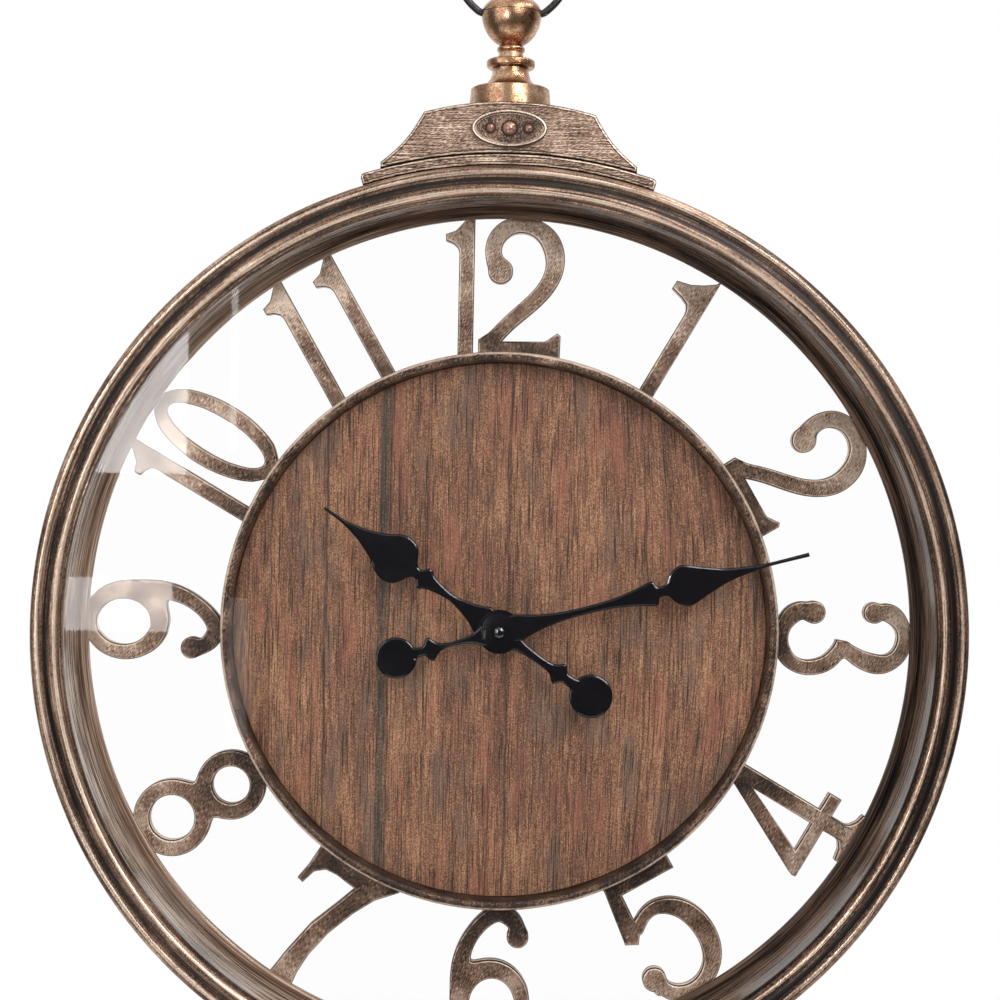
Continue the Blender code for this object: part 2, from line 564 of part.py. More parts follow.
class Builder:
    """Puts meshes into the scene as named objects under the empties that carry them."""

    def __init__(self):
        self.centre = self.empty("clock_centre", (0, 0, -NAIL_RADIUS))

    def empty(self, name, place):
        """An empty that carries other objects."""
        holder = bpy.data.objects.new(name, None)
        holder.location = place
        bpy.context.scene.collection.objects.link(holder)
        return holder

    def object(self, name, shape, place=(0, 0, 0), turn=(0, 0, 0)):
        """An object under the clock's centre, from a mesh that this call uses up."""
        bmesh.ops.recalc_face_normals(shape, faces=shape.faces)
        mesh = bpy.data.meshes.new(name)
        shape.to_mesh(mesh)
        shape.free()
        mesh.shade_smooth()
        mesh.set_sharp_from_angle(angle=SHARP_ANGLE)
        thing = bpy.data.objects.new(name, mesh)
        thing.parent = self.centre
        thing.location = place
        thing.rotation_euler = turn
        bpy.context.scene.collection.objects.link(thing)
        return thing

    def piece(self, name, finish, shape, place=(0, 0, 0), turn=(0, 0, 0)):
        """A visible sub-part with a material of its own."""
        thing = self.object(name, shape, place, turn)
        thing.data.materials.append(self.material(name, finish))
        return thing

    def material(self, name, finish):
        """Principled material of one sub-part."""
        colour, roughness, metallic = finish
        made = bpy.data.materials.new(name)
        made.use_nodes = True
        shader = made.node_tree.nodes["Principled BSDF"]
        shader.inputs["Base Color"].default_value = (*colour, 1)
        shader.inputs["Roughness"].default_value = roughness
        shader.inputs["Metallic"].default_value = metallic
        made.diffuse_color = (*colour, 1)
        return made

    def tool(self, name, shape, place=(0, 0, 0), turn=(0, 0, 0)):
        """A hidden mesh that a Boolean joins or cuts with."""
        thing = self.object(name, shape, place, turn)
        thing.hide_render = True
        thing.display_type = "WIRE"
        return thing

    def combine(self, thing, tool, operation):
        """Adds one live Boolean to an object."""
        change = thing.modifiers.new(tool.name, "BOOLEAN")
        change.solver = "EXACT"
        change.operation = operation
        change.object = tool

    def join_all(self, thing, tools):
        """Joins several hidden meshes to an object in one Boolean."""
        group = bpy.data.collections.new(thing.name + "_parts")
        bpy.context.scene.collection.children.link(group)
        for tool in tools:
            group.objects.link(tool)
        change = thing.modifiers.new(group.name, "BOOLEAN")
        change.solver = "EXACT"
        change.operation = "UNION"
        change.operand_type = "COLLECTION"
        change.collection = group


def screw_profile(length):
    """Pan head screw along the depth: the head's bearing face is at depth 0, and the shank goes forward."""
    return [
        (0, -SCREW_HEAD_HEIGHT),
        (SCREW_HEAD_RADIUS - SCREW_HEAD_ROUND, -SCREW_HEAD_HEIGHT),
        (SCREW_HEAD_RADIUS, SCREW_HEAD_ROUND - SCREW_HEAD_HEIGHT),
        (SCREW_HEAD_RADIUS, 0),
        (SCREW_RADIUS, 0),
        (SCREW_RADIUS, length - SCREW_RADIUS),
        (0, length),
    ]


def flange_hole_shape(back, front):
    """Cutter for one screw's clearance hole."""
    return plate([circle(SCREW_RADIUS + SEAT_GAP, SCREW_SEGMENTS)], back, front)


def gear_outline(teeth, module, phase):
    """Closed outline of a gear, with one tooth at the clock angle `phase`.

    A pinion has flat roots between its leaves, and the teeth of a wheel meet in a point at the root.
    """
    pitch = 360 / teeth
    radius = teeth * module / 2
    tip = radius + module * TOOTH_ADDENDUM_SHARE
    tooth = [(tip, -TOOTH_TIP_SHARE), (tip, TOOTH_TIP_SHARE)]
    if teeth == PINION_TEETH:
        root = radius - module * TOOTH_DEDENDUM_SHARE
        tooth = [(root, -TOOTH_ROOT_SHARE)] + tooth + [(root, TOOTH_ROOT_SHARE)]
    else:
        tooth = [(radius - module * WHEEL_DEDENDUM_SHARE, -1)] + tooth
    outline = []
    for i in range(teeth):
        outline += [polar(place, phase + (i + share / 2) * pitch) for place, share in tooth]
    return outline


def mesh_module(distance, teeth):
    """Tooth size of a wheel that meets a pinion at a distance between their axes."""
    return 2 * distance / (teeth + PINION_TEETH)


def driven_phase(direction, teeth):
    """Clock angle of a tooth on the driven gear, which has a gap towards its driver."""
    return direction + 180 + 180 / teeth


def number_point(hour, across, up):
    """Place on the dial of a point in a number's own frame, whose unit is the gap between the rings."""
    gap = FLANGE_INNER_RADIUS - INNER_RING_RADIUS
    if hour in UPSIDE_DOWN_HOURS:
        across, up = -across, 1 - up
    angle = math.radians(hour * 30)
    outward = Vector((math.sin(angle), math.cos(angle)))
    clockwise = Vector((math.cos(angle), -math.sin(angle)))
    place = outward * (INNER_RING_RADIUS + up * gap) + clockwise * across * gap
    return place.x, place.y


def digit_loops(digit):
    """Solid parts of one digit, each a list of closed loops: its edge, then its hole."""
    if digit == 0:
        return [[ellipse(0, 0.5, *half) for half in ZERO_HALF_SHARES]]
    if digit == 1:
        return [[list(ONE_SHARES)]]
    if digit == WIDE_ONE:
        return [[list(WIDE_ONE_SHARES)]]
    if digit == 2:
        return [[ball(TWO_BALL_SHARES)], [stroke_outline(TWO_STROKE_SHARES)], [list(TWO_FOOT_SHARES)]]
    if digit == 3:
        balls = [[ball(THREE_LOW_BALL_SHARES)], [ball(THREE_HIGH_BALL_SHARES)]]
        return balls + [[stroke_outline(THREE_LOW_SHARES)], [stroke_outline(THREE_HIGH_SHARES)]]
    if digit == 4:
        return [[list(shares)] for shares in (FOUR_STEM_SHARES, FOUR_SLANT_SHARES, FOUR_BAR_SHARES, FOUR_FOOT_SHARES)]
    if digit == 5:
        straight = [[list(FIVE_BAR_SHARES)], [list(FIVE_STEM_SHARES)]]
        return straight + [[stroke_outline(FIVE_STROKE_SHARES)], [ball(FIVE_BALL_SHARES)]]
    if digit == 6:
        bowl = [ellipse(*SIX_OUTER_SHARES), ellipse(*SIX_INNER_SHARES, PART_SEGMENTS - ARC_STEPS // 2)]
        return [bowl, [stroke_outline(SIX_STROKE_SHARES)], [ball(SIX_BALL_SHARES)]]
    if digit == 7:
        return [[list(SEVEN_SHARES)]]
    if digit == 8:
        return [round_loops(EIGHT_SMALL_SHARES), round_loops(EIGHT_LARGE_SHARES)]
    return [[[(-across, 1 - up) for across, up in loop] for loop in loops] for loops in digit_loops(6)]


def ball(shares):
    """Round end of a stroke."""
    across, up, radius = shares
    return circle(radius, PIN_SEGMENTS, across, up)


def round_loops(shares):
    """Edge and hole of a round bowl."""
    across, up, outer, inner = shares
    return [circle(outer, PART_SEGMENTS, across, up), circle(inner, PART_SEGMENTS - ARC_STEPS // 2, across, up)]


def build_case(make):
    """Case ring with its screw bosses, lens and spacer sleeve."""
    lens_seat = LENS_FRONT_DEPTH + SEAT_GAP
    recess = LENS_RADIUS + SEAT_GAP
    inside = CASE_SIDE_RADIUS - CASE_WALL
    lip = CASE_SIDE_RADIUS - LIP_INSET
    bead_place = (CASE_SIDE_RADIUS - FRONT_BEAD_INSET, FRONT_BEAD_DEPTH)
    front_bead = arc(FRONT_BEAD_RADIUS, 160, -45, BEAD_STEPS, *bead_place)
    bead_place = (CASE_SIDE_RADIUS - LENS_BEAD_INSET, FRONT_BEAD_DEPTH + LENS_BEAD_RISE)
    lens_bead = arc(LENS_BEAD_RADIUS, 120, -75, BEAD_STEPS, *bead_place)
    between = [
        (CASE_SIDE_RADIUS - inset, FRONT_BEAD_DEPTH + rise)
        for inset, rise in (
            (GROOVE_INSET, GROOVE_RISE), (RIDGE_OUTER_INSET, RIDGE_OUTER_RISE), (RIDGE_INNER_INSET, RIDGE_INNER_RISE),
        )
    ]
    profile = [(CASE_SIDE_RADIUS, 0), (CASE_SIDE_RADIUS, FRONT_BEAD_DEPTH - FRONT_BEAD_RADIUS - SEAT_GAP)]
    profile += front_bead + between + lens_bead
    profile += [(lip, FRONT_BEAD_DEPTH + LIP_RISE), (lip, lens_seat), (recess, lens_seat)]
    profile += [(recess, FRONT_BEAD_DEPTH - RECESS_STEP_DROP), (inside, SHELL_FRONT_DEPTH), (inside, 0)]
    case = make.piece("case_ring", BRONZE, turned(profile, RING_SEGMENTS))

    boss_end = FLANGE_STEP_DEPTH + SEAT_GAP
    boss_root = SHELL_FRONT_DEPTH + BOSS_RADIUS
    bosses = []
    holes = []
    for i, angle in enumerate(boss_angles()):
        across, up = polar(BOSS_PLACE_RADIUS, angle)
        shape = plate([circle(BOSS_RADIUS, PIN_SEGMENTS)], boss_end, boss_root)
        bosses.append(make.tool("boss_%d" % i, shape, (across, 0, up)))
        depth = boss_end + SCREW_GRIP
        holes.append(flange_hole_shape(boss_end - CUT_OVERRUN, depth))
        bmesh.ops.translate(holes[-1], verts=holes[-1].verts, vec=(across, 0, up))
    make.join_all(case, bosses)
    make.combine(case, make.tool("boss_holes", merged(*holes)), "DIFFERENCE")
    for side in (-1, 1):
        make.combine(case, crown_screw_hole(make, "case_hole_%d" % side, side), "DIFFERENCE")

    lens_back = LENS_FRONT_DEPTH - LENS_THICKNESS
    lens = plate([circle(LENS_RADIUS, RING_SEGMENTS)], lens_back, LENS_FRONT_DEPTH)
    make.piece("glass_lens", GLASS, lens)
    sleeve_back = FLANGE_FRONT_DEPTH + SEAT_GAP
    sleeve_front = lens_back - SEAT_GAP
    sleeve = [
        (SLEEVE_RADIUS, sleeve_back),
        (SLEEVE_RADIUS, sleeve_front),
        (SLEEVE_RADIUS - SLEEVE_WALL, sleeve_front),
        (SLEEVE_RADIUS - SLEEVE_WALL, sleeve_back),
    ]
    make.piece("spacer_sleeve", BROWN_GLOSS, turned(sleeve, RING_SEGMENTS))


def boss_angles():
    """Clock angles of the screws into the case: those of the dial, then the two of the hanger."""
    hanger = math.degrees(math.asin((HANGER_FOOT_INNER + HANGER_HALF_WIDTH) / 2 / BOSS_PLACE_RADIUS))
    return list(DIAL_SCREW_ANGLES) + [-hanger, hanger]


def crown_screw_angle():
    """Clock angle of the crown's right screw."""
    return math.degrees(math.asin(FOOT_HALF_WIDTH * CROWN_SCREW_PLACE_SHARE / STRIP_OUTER_RADIUS))


def crown_screw_hole(make, name, side):
    """Radial cutter through the case and the strip into the crown plate, for one of its two screws."""
    radius = SCREW_RADIUS + SEAT_GAP
    low = CASE_SIDE_RADIUS - CASE_WALL - SCREW_HEAD_HEIGHT - CUT_OVERRUN
    high = CASE_SIDE_RADIUS - CASE_WALL + CROWN_SCREW_LENGTH + SEAT_GAP
    profile = [(0, low), (radius, low), (radius, high), (0, high)]
    angle = math.radians(crown_screw_angle() * side)
    hole = turned(profile, SCREW_SEGMENTS, "Z", closed=False)
    return make.tool(name, hole, (0, -CROWN_AXIS_DEPTH, 0), (0, angle, 0))


def build_dial(make):
    """Openwork dial, its screws and the wood disc."""
    outer = CASE_SIDE_RADIUS - CASE_WALL - SEAT_GAP
    flange = [
        (outer, FLANGE_BACK_DEPTH),
        (outer, FLANGE_STEP_DEPTH),
        (FLANGE_STEP_RADIUS, FLANGE_STEP_DEPTH),
        (FLANGE_STEP_RADIUS, FLANGE_FRONT_DEPTH),
        (FLANGE_INNER_RADIUS, FLANGE_FRONT_DEPTH),
        (FLANGE_INNER_RADIUS, FLANGE_BACK_DEPTH),
    ]
    dial = make.piece("openwork_dial", BRONZE, turned(flange, RING_SEGMENTS))

    bead = INNER_RING_THICKNESS / 2
    inner = INNER_RING_RADIUS - INNER_RING_THICKNESS
    crest = arc(bead, 90, -90, BEAD_STEPS, INNER_RING_RADIUS - bead, INNER_RING_CREST_DEPTH - bead)
    ledge_back = LEDGE_FRONT_DEPTH - LEDGE_THICKNESS
    ring = [(INNER_RING_RADIUS, NUMBER_BACK_DEPTH)] + crest + [
        (inner, LEDGE_FRONT_DEPTH),
        (inner - LEDGE_WIDTH, LEDGE_FRONT_DEPTH),
        (inner - LEDGE_WIDTH, ledge_back),
        (inner, ledge_back),
        (inner, NUMBER_BACK_DEPTH),
    ]
    parts = [make.tool("inner_ring", turned(ring, RING_SEGMENTS))]
    for hour, digits in HOUR_DIGIT_SHARES.items():
        for place, (digit, shift, lean) in enumerate(digits):
            for number, loops in enumerate(digit_loops(digit)):
                on_dial = [
                    [number_point(hour, across + shift + lean * (1 - up), up) for across, up in loop] for loop in loops
                ]
                shape = plate(on_dial, NUMBER_BACK_DEPTH, NUMBER_FRONT_DEPTH)
                parts.append(make.tool("number_%d_%d_%d" % (hour, place, number), shape))
    make.join_all(dial, parts)

    holes = []
    for i, degrees in enumerate(boss_angles()):
        across, up = polar(BOSS_PLACE_RADIUS, degrees)
        hole = flange_hole_shape(FLANGE_BACK_DEPTH - CUT_OVERRUN, FLANGE_STEP_DEPTH + CUT_OVERRUN)
        bmesh.ops.translate(hole, verts=hole.verts, vec=(across, 0, up))
        holes.append(hole)
        if i < len(DIAL_SCREW_ANGLES):
            head = FLANGE_BACK_DEPTH - SEAT_GAP
            length = SCREW_GRIP + FLANGE_STEP_DEPTH - FLANGE_BACK_DEPTH
            screw = turned(screw_profile(length), SCREW_SEGMENTS, closed=False)
            make.piece("dial_screw_%d" % (i + 1), STEEL, screw, (across, -head, up))
    make.combine(dial, make.tool("flange_holes", merged(*holes)), "DIFFERENCE")

    wood_back = LEDGE_FRONT_DEPTH + SEAT_GAP
    edge = circle(inner - SEAT_GAP, RING_SEGMENTS)
    bore = circle(BUSH_RADIUS + SEAT_GAP, SMALL_SEGMENTS)
    make.piece("wood_disc", WOOD, plate([edge, bore], wood_back, wood_back + WOOD_THICKNESS))


def build_hanger(make):
    """Bent keyhole plate at the top of the case, with its two screws."""
    foot_front = FLANGE_BACK_DEPTH - SEAT_GAP
    rise = foot_front - HANGER_THICKNESS - HANGER_DEPTH
    slope = math.hypot(rise, HANGER_FOOT_INNER - HANGER_FLAT_HALF_WIDTH)
    shift = HANGER_THICKNESS * (slope - (HANGER_FOOT_INNER - HANGER_FLAT_HALF_WIDTH)) / rise
    wall_side = [
        (HANGER_FLAT_HALF_WIDTH + shift, HANGER_DEPTH),
        (HANGER_FOOT_INNER + shift, HANGER_DEPTH + rise),
        (HANGER_HALF_WIDTH, HANGER_DEPTH + rise),
    ]
    room_side = [
        (HANGER_HALF_WIDTH, foot_front),
        (HANGER_FOOT_INNER, foot_front),
        (HANGER_FLAT_HALF_WIDTH, HANGER_DEPTH + HANGER_THICKNESS),
    ]
    half = wall_side + room_side
    section = half + [(-across, depth) for across, depth in half[::-1]]
    top = flat_radius(CASE_SIDE_RADIUS - CASE_WALL) - SEAT_GAP
    strap = bmesh.new()
    points = [strap.verts.new((across, -depth, HANGER_LOW_RADIUS - CUT_OVERRUN)) for across, depth in section]
    face = strap.faces.new(points)
    raised = bmesh.ops.extrude_face_region(strap, geom=[face])
    moved = [item for item in raised["geom"] if isinstance(item, bmesh.types.BMVert)]
    bmesh.ops.translate(strap, verts=moved, vec=(0, 0, top - HANGER_LOW_RADIUS + CUT_OVERRUN * 2))
    hanger = make.piece("hanger_plate", STEEL, strap)

    reach = math.degrees(math.asin((HANGER_HALF_WIDTH + CUT_OVERRUN) / top))
    outline = arc(top, -reach, reach, ARC_STEPS) + [
        (HANGER_HALF_WIDTH + CUT_OVERRUN, HANGER_LOW_RADIUS),
        (-HANGER_HALF_WIDTH - CUT_OVERRUN, HANGER_LOW_RADIUS),
    ]
    cut = plate([outline], HANGER_DEPTH - CUT_OVERRUN, foot_front + CUT_OVERRUN)
    make.combine(hanger, make.tool("hanger_outline", cut), "INTERSECT")
    half_angle = math.degrees(math.asin(SLOT_RADIUS / KEYHOLE_RADIUS))
    head = arc(KEYHOLE_RADIUS, half_angle, 360 - half_angle, PART_SEGMENTS - ARC_STEPS, 0, NAIL_RADIUS - KEYHOLE_DROP)
    keyhole = head + arc(SLOT_RADIUS, -90, 90, ARC_STEPS, 0, NAIL_RADIUS)
    cut = plate([keyhole], HANGER_DEPTH - CUT_OVERRUN, HANGER_DEPTH + HANGER_THICKNESS + CUT_OVERRUN)
    make.combine(hanger, make.tool("keyhole", cut), "DIFFERENCE")
    for name, side in (("left", -1), ("right", 1)):
        across, up = polar(BOSS_PLACE_RADIUS, boss_angles()[-1] * side)
        hole = flange_hole_shape(HANGER_DEPTH + rise - CUT_OVERRUN, foot_front + CUT_OVERRUN)
        make.combine(hanger, make.tool("foot_hole_" + name, hole, (across, 0, up)), "DIFFERENCE")
        bearing = foot_front - HANGER_THICKNESS - SEAT_GAP
        length = SCREW_GRIP + FLANGE_STEP_DEPTH - bearing
        screw = turned(screw_profile(length), SCREW_SEGMENTS, closed=False)
        make.piece("hanger_screw_" + name, STEEL, screw, (across, -bearing, up))


def build_crown_plate(make):
    """Crown plate, the strip between it and the case, the medallion and the two screws from inside the case."""
    foot = STRIP_OUTER_RADIUS + SEAT_GAP
    foot_angle = math.degrees(math.asin(FOOT_HALF_WIDTH / foot))
    arc_centre = CREST_RADIUS - CREST_ARC_RADIUS
    shoulder_angle = math.degrees(math.asin(SHOULDER_HALF_WIDTH / CREST_ARC_RADIUS))
    top = arc(CREST_ARC_RADIUS, -shoulder_angle, shoulder_angle, ARC_STEPS * 2, 0, arc_centre)
    low = Vector(polar(foot, foot_angle)) + Vector((0, FOOT_EDGE))
    high = Vector(top[-1])
    inwards = Vector((low.y - high.y, high.x - low.x)).normalized()
    right = []
    for step in range(1, ARC_STEPS):
        share = step / ARC_STEPS
        right.append(tuple(high.lerp(low, share) + inwards * SIDE_SAG * math.sin(math.pi * share)))
    right.append(tuple(low))
    left = [(-across, up) for across, up in right[::-1]]
    outline = top + right + arc(foot, foot_angle, -foot_angle, ARC_STEPS * 2) + left
    crown = make.piece("crown_plate", BRONZE, plate([outline], CROWN_BACK_DEPTH, CROWN_FRONT_DEPTH))
    pocket = [(0, POCKET_FLOOR), (DRUM_LOW_RADIUS + SEAT_GAP, POCKET_FLOOR)]
    pocket += [(DRUM_LOW_RADIUS + SEAT_GAP, CREST_RADIUS + CUT_OVERRUN), (0, CREST_RADIUS + CUT_OVERRUN)]
    axis = (0, -CROWN_AXIS_DEPTH, 0)
    cut = turned(pocket, PART_SEGMENTS, "Z", closed=False)
    make.combine(crown, make.tool("crown_pocket", cut, axis), "DIFFERENCE")
    make.combine(crown, rod_hole(make, "crown_plate_bore"), "DIFFERENCE")

    inner = CASE_SIDE_RADIUS + SEAT_GAP
    strip = make.piece("crown_strip", BRONZE, strip_shape(inner))
    rebate = CASE_SIDE_RADIUS - FRONT_BEAD_INSET + FRONT_BEAD_RADIUS + SEAT_GAP
    notch_back = FRONT_BEAD_DEPTH - FRONT_BEAD_RADIUS - SCREW_HEAD_ROUND
    ring = [(inner - CUT_OVERRUN, notch_back), (rebate, notch_back)]
    ring += [(rebate, CROWN_FRONT_DEPTH + CUT_OVERRUN), (inner - CUT_OVERRUN, CROWN_FRONT_DEPTH + CUT_OVERRUN)]
    make.combine(strip, make.tool("bead_rebate", turned(ring, RING_SEGMENTS)), "DIFFERENCE")

    for name, side in (("left", -1), ("right", 1)):
        make.combine(strip, crown_screw_hole(make, "strip_hole_" + name, side), "DIFFERENCE")
        make.combine(crown, crown_screw_hole(make, "plate_hole_" + name, side), "DIFFERENCE")
        head = flat_radius(CASE_SIDE_RADIUS - CASE_WALL) - SEAT_GAP
        profile = [(radius, head + along) for radius, along in screw_profile(CROWN_SCREW_LENGTH)]
        screw = turned(profile, SCREW_SEGMENTS, "Z", closed=False)
        turn = (0, math.radians(crown_screw_angle() * side), 0)
        make.piece("crown_screw_" + name, STEEL, screw, axis, turn)
    build_medallion(make)


def strip_shape(inner):
    """Curved strip with rounded outer corners."""
    corner = STRIP_OUTER_RADIUS - STRIP_CORNER_RADIUS
    half_angle = math.degrees(math.asin(STRIP_HALF_WIDTH / STRIP_OUTER_RADIUS))
    end = half_angle - math.degrees(STRIP_CORNER_RADIUS / corner)
    outline = arc(STRIP_OUTER_RADIUS, -end, end, PART_SEGMENTS // 2)
    right = []
    for step in range(1, ARC_STEPS // 2 + 1):
        across, up = polar(corner, end)
        right.append(polar(STRIP_CORNER_RADIUS, end + 90 * step * 2 / ARC_STEPS, across, up))
    outline += right + arc(inner, half_angle, -half_angle, PART_SEGMENTS // 2)
    outline += [(-across, up) for across, up in right[::-1]]
    return plate([outline], CROWN_BACK_DEPTH, CROWN_FRONT_DEPTH)


def build_medallion(make):
    """Oval medallion with a raised rim and three round beads."""
    back = CROWN_FRONT_DEPTH + SEAT_GAP
    front = back + MEDALLION_THICKNESS
    field = front - MEDALLION_FIELD_DROP
    levels = [
        (0, back),
        (0, front - MEDALLION_RIM / 2),
        (MEDALLION_RIM * RIM_SHARES[0], front),
        (MEDALLION_RIM * RIM_SHARES[1], front),
        (MEDALLION_RIM, field),
    ]
    shape = bmesh.new()
    loops = []
    for inset, depth in levels:
        half_width = MEDALLION_HALF_WIDTH - inset
        half_height = MEDALLION_HALF_HEIGHT - inset
        points = ellipse(0, MEDALLION_HEIGHT, half_width, half_height)
        loops.append([shape.verts.new((across, -depth, up)) for across, up in points])
    for lower, upper in zip(loops, loops[1:]):
        for i, point in enumerate(lower):
            following = (i + 1) % len(lower)
            shape.faces.new((point, lower[following], upper[following], upper[i]))
    shape.faces.new(loops[0])
    shape.faces.new(loops[-1])
    medallion = make.piece("oval_medallion", BRONZE, shape)
    beads = []
    for i, (across, radius) in enumerate(
        ((0, MIDDLE_BEAD_RADIUS), (-SIDE_BEAD_OFFSET, SIDE_BEAD_RADIUS), (SIDE_BEAD_OFFSET, SIDE_BEAD_RADIUS))
    ):
        dome = arc(radius, 0, 90, ARC_STEPS // 2)
        profile = [(0, -JOIN_OVERLAP), (radius, -JOIN_OVERLAP)] + dome[::-1]
        profile[-1] = (0, radius)
        bead = turned(profile, SMALL_SEGMENTS, closed=False)
        beads.append(make.tool("medallion_bead_%d" % i, bead, (across, -field, MEDALLION_HEIGHT)))
    make.join_all(medallion, beads)


def rod_hole(make, name, top=None):
    """Cutter for the rod that runs up through the knob."""
    high = CREST_RADIUS + CUT_OVERRUN if top is None else top
    radius = ROD_RADIUS + SEAT_GAP
    profile = [(0, ROD_FOOT - SEAT_GAP), (radius, ROD_FOOT - SEAT_GAP), (radius, high), (0, high)]
    return make.tool(name, turned(profile, SMALL_SEGMENTS, "Z", closed=False), (0, -CROWN_AXIS_DEPTH, 0))


def build_knob(make):
    """Flange, collar and the two halves of the knob, the rod through them and the bow."""
    axis = (0, -CROWN_AXIS_DEPTH, 0)
    bore = ROD_RADIUS + SEAT_GAP
    drum = [
        (bore, POCKET_FLOOR + SEAT_GAP),
        (DRUM_LOW_RADIUS, POCKET_FLOOR + SEAT_GAP),
        (DRUM_TOP_RADIUS, DRUM_TOP),
        (FLARE_LOW_RADIUS, DRUM_TOP + SEAT_GAP),
    ]
    rise = FLARE_TOP - DRUM_TOP
    fall = FLARE_LOW_RADIUS - FLARE_TOP_RADIUS
    for step in range(1, ARC_STEPS + 1):
        share = step / ARC_STEPS
        up = DRUM_TOP + SEAT_GAP + rise * share**FLARE_POWER_SHARE
        drum.append((FLARE_LOW_RADIUS - fall * math.sin(share * math.pi / 2), up))
    drum.append((bore, DRUM_TOP + SEAT_GAP + rise))
    flange = turned(drum, PART_SEGMENTS, "Z")
    make.piece("crown_flange", BRONZE, flange, axis)

    low = FLARE_TOP + SEAT_GAP + SEAT_GAP
    collar = [(bore, low)] + arc(COLLAR_ROUND, 180, 90, 2, COLLAR_RADIUS - COLLAR_ROUND, low + COLLAR_ROUND)
    collar += arc(COLLAR_ROUND, 90, 0, 2, COLLAR_RADIUS - COLLAR_ROUND, COLLAR_TOP - COLLAR_ROUND)
    collar += [(bore, COLLAR_TOP)]
    make.piece("crown_collar", BRONZE, turned(collar, PART_SEGMENTS, "Z"), axis)

    bead = (NECK_BEAD_TOP - NECK_TOP) / 2
    foot = COLLAR_TOP + SEAT_GAP
    lower = [(bore, foot), (NECK_BEAD_RADIUS - SEAT_GAP, foot), (NECK_RADIUS, NECK_TOP)]
    lower += arc(bead, 135, 45, 2, NECK_BEAD_RADIUS - bead, NECK_TOP + bead)
    lower += [(GROOVE_RADIUS, NECK_BEAD_TOP)]
    height = SEAM_HEIGHT - NECK_BEAD_TOP - bead / 2
    start = math.acos(GROOVE_RADIUS / KNOB_RADIUS)
    for step in range(1, ARC_STEPS + 1):
        angle = start * (1 - step / ARC_STEPS)
        level = SEAM_HEIGHT - SEAT_GAP - height * math.sin(angle) / math.sin(start)
        lower.append((KNOB_RADIUS * math.cos(angle), level))
    lower += [(bore, SEAM_HEIGHT - SEAT_GAP)]
    knob = make.piece("knob_lower", BRONZE, turned(lower, PART_SEGMENTS, "Z"), axis)

    cap = [(0, SEAM_HEIGHT), (KNOB_RADIUS, SEAM_HEIGHT)]
    for step in range(1, ARC_STEPS + 1):
        angle = math.pi / 2 * step / ARC_STEPS
        cap.append((KNOB_RADIUS * math.cos(angle), SEAM_HEIGHT + CAP_HEIGHT * math.sin(angle)))
    cap[-1] = (0, SEAM_HEIGHT + CAP_HEIGHT)
    dome = make.piece("knob_cap", BRONZE, turned(cap, PART_SEGMENTS, "Z", closed=False), axis)
    make.combine(dome, rod_hole(make, "cap_bore", ROD_TOP + SEAT_GAP), "DIFFERENCE")
    for name, side in (("left", -1), ("right", 1)):
        for half in (knob, dome):
            hole = turned(pin_hole_profile(), PIN_SEGMENTS, "Z", closed=False)
            place = (0, -CROWN_AXIS_DEPTH, SEAM_HEIGHT)
            cut = make.tool("%s_pin_%s" % (half.name, name), hole, place, (0, math.pi / 2 * side, 0))
            make.combine(half, cut, "DIFFERENCE")

    rod = [(0, ROD_FOOT), (ROD_RADIUS, ROD_FOOT), (ROD_RADIUS, ROD_TOP), (0, ROD_TOP)]
    make.piece("crown_rod", STEEL, turned(rod, SMALL_SEGMENTS, "Z", closed=False), axis)
    build_bow(make)


def pin_hole_profile():
    """Cutter for one of the bow's pin holes, from just inside the pin's end to outside the knob."""
    radius = BOW_WIRE_RADIUS + SEAT_GAP
    inner = BOW_PIN_INNER - SEAT_GAP
    outer = KNOB_RADIUS + CUT_OVERRUN
    return [(0, inner), (radius, inner), (radius, outer), (0, outer)]


def build_bow(make):
    """Wire bow that swings on its two inward pins."""
    half = [(BOW_PIN_INNER, 0), ((BOW_PIN_INNER + BOW_PIN_OUTER) / 2, 0), (BOW_PIN_OUTER, 0)]
    first = polar(BOW_RING_RADIUS, 180 - BOW_START_ANGLE, 0, BOW_RING_RISE)
    bend = ((BOW_PIN_OUTER + first[0]) / 2 + BOW_BEND_SHIFT, first[1] / 3)
    ring = arc(BOW_RING_RADIUS, 180 - BOW_START_ANGLE, BOW_START_ANGLE - 180, BOW_POINTS, 0, BOW_RING_RISE)
    line = half + [bend] + ring + [(-bend[0], bend[1])] + [(-across, up) for across, up in half[::-1]]
    curve = bpy.data.curves.new("bow", "CURVE")
    curve.dimensions = "3D"
    curve.bevel_depth = BOW_WIRE_RADIUS
    curve.bevel_resolution = 2
    curve.use_fill_caps = True
    spline = curve.splines.new("POLY")
    spline.points.add(len(line) - 1)
    for point, (across, up) in zip(spline.points, line):
        point.co = (across, 0, up, 1)
    bow = bpy.data.objects.new("bow", curve)
    curve.materials.append(make.material("bow", BRONZE))
    bow.parent = make.centre
    bow.location = (0, -CROWN_AXIS_DEPTH, SEAM_HEIGHT)
    bpy.context.scene.collection.objects.link(bow)


def axis_places():
    """Places of the gear axes round the hand arbor."""
    motion = polar(MOTION_DISTANCE, MOTION_DIRECTION)
    third = polar(THIRD_DISTANCE, THIRD_DIRECTION)
    intermediate = polar(INTERMEDIATE_DISTANCE, INTERMEDIATE_DIRECTION, *third)
    rotor = polar(ROTOR_DISTANCE, ROTOR_DIRECTION, *intermediate)
    return motion, third, intermediate, rotor


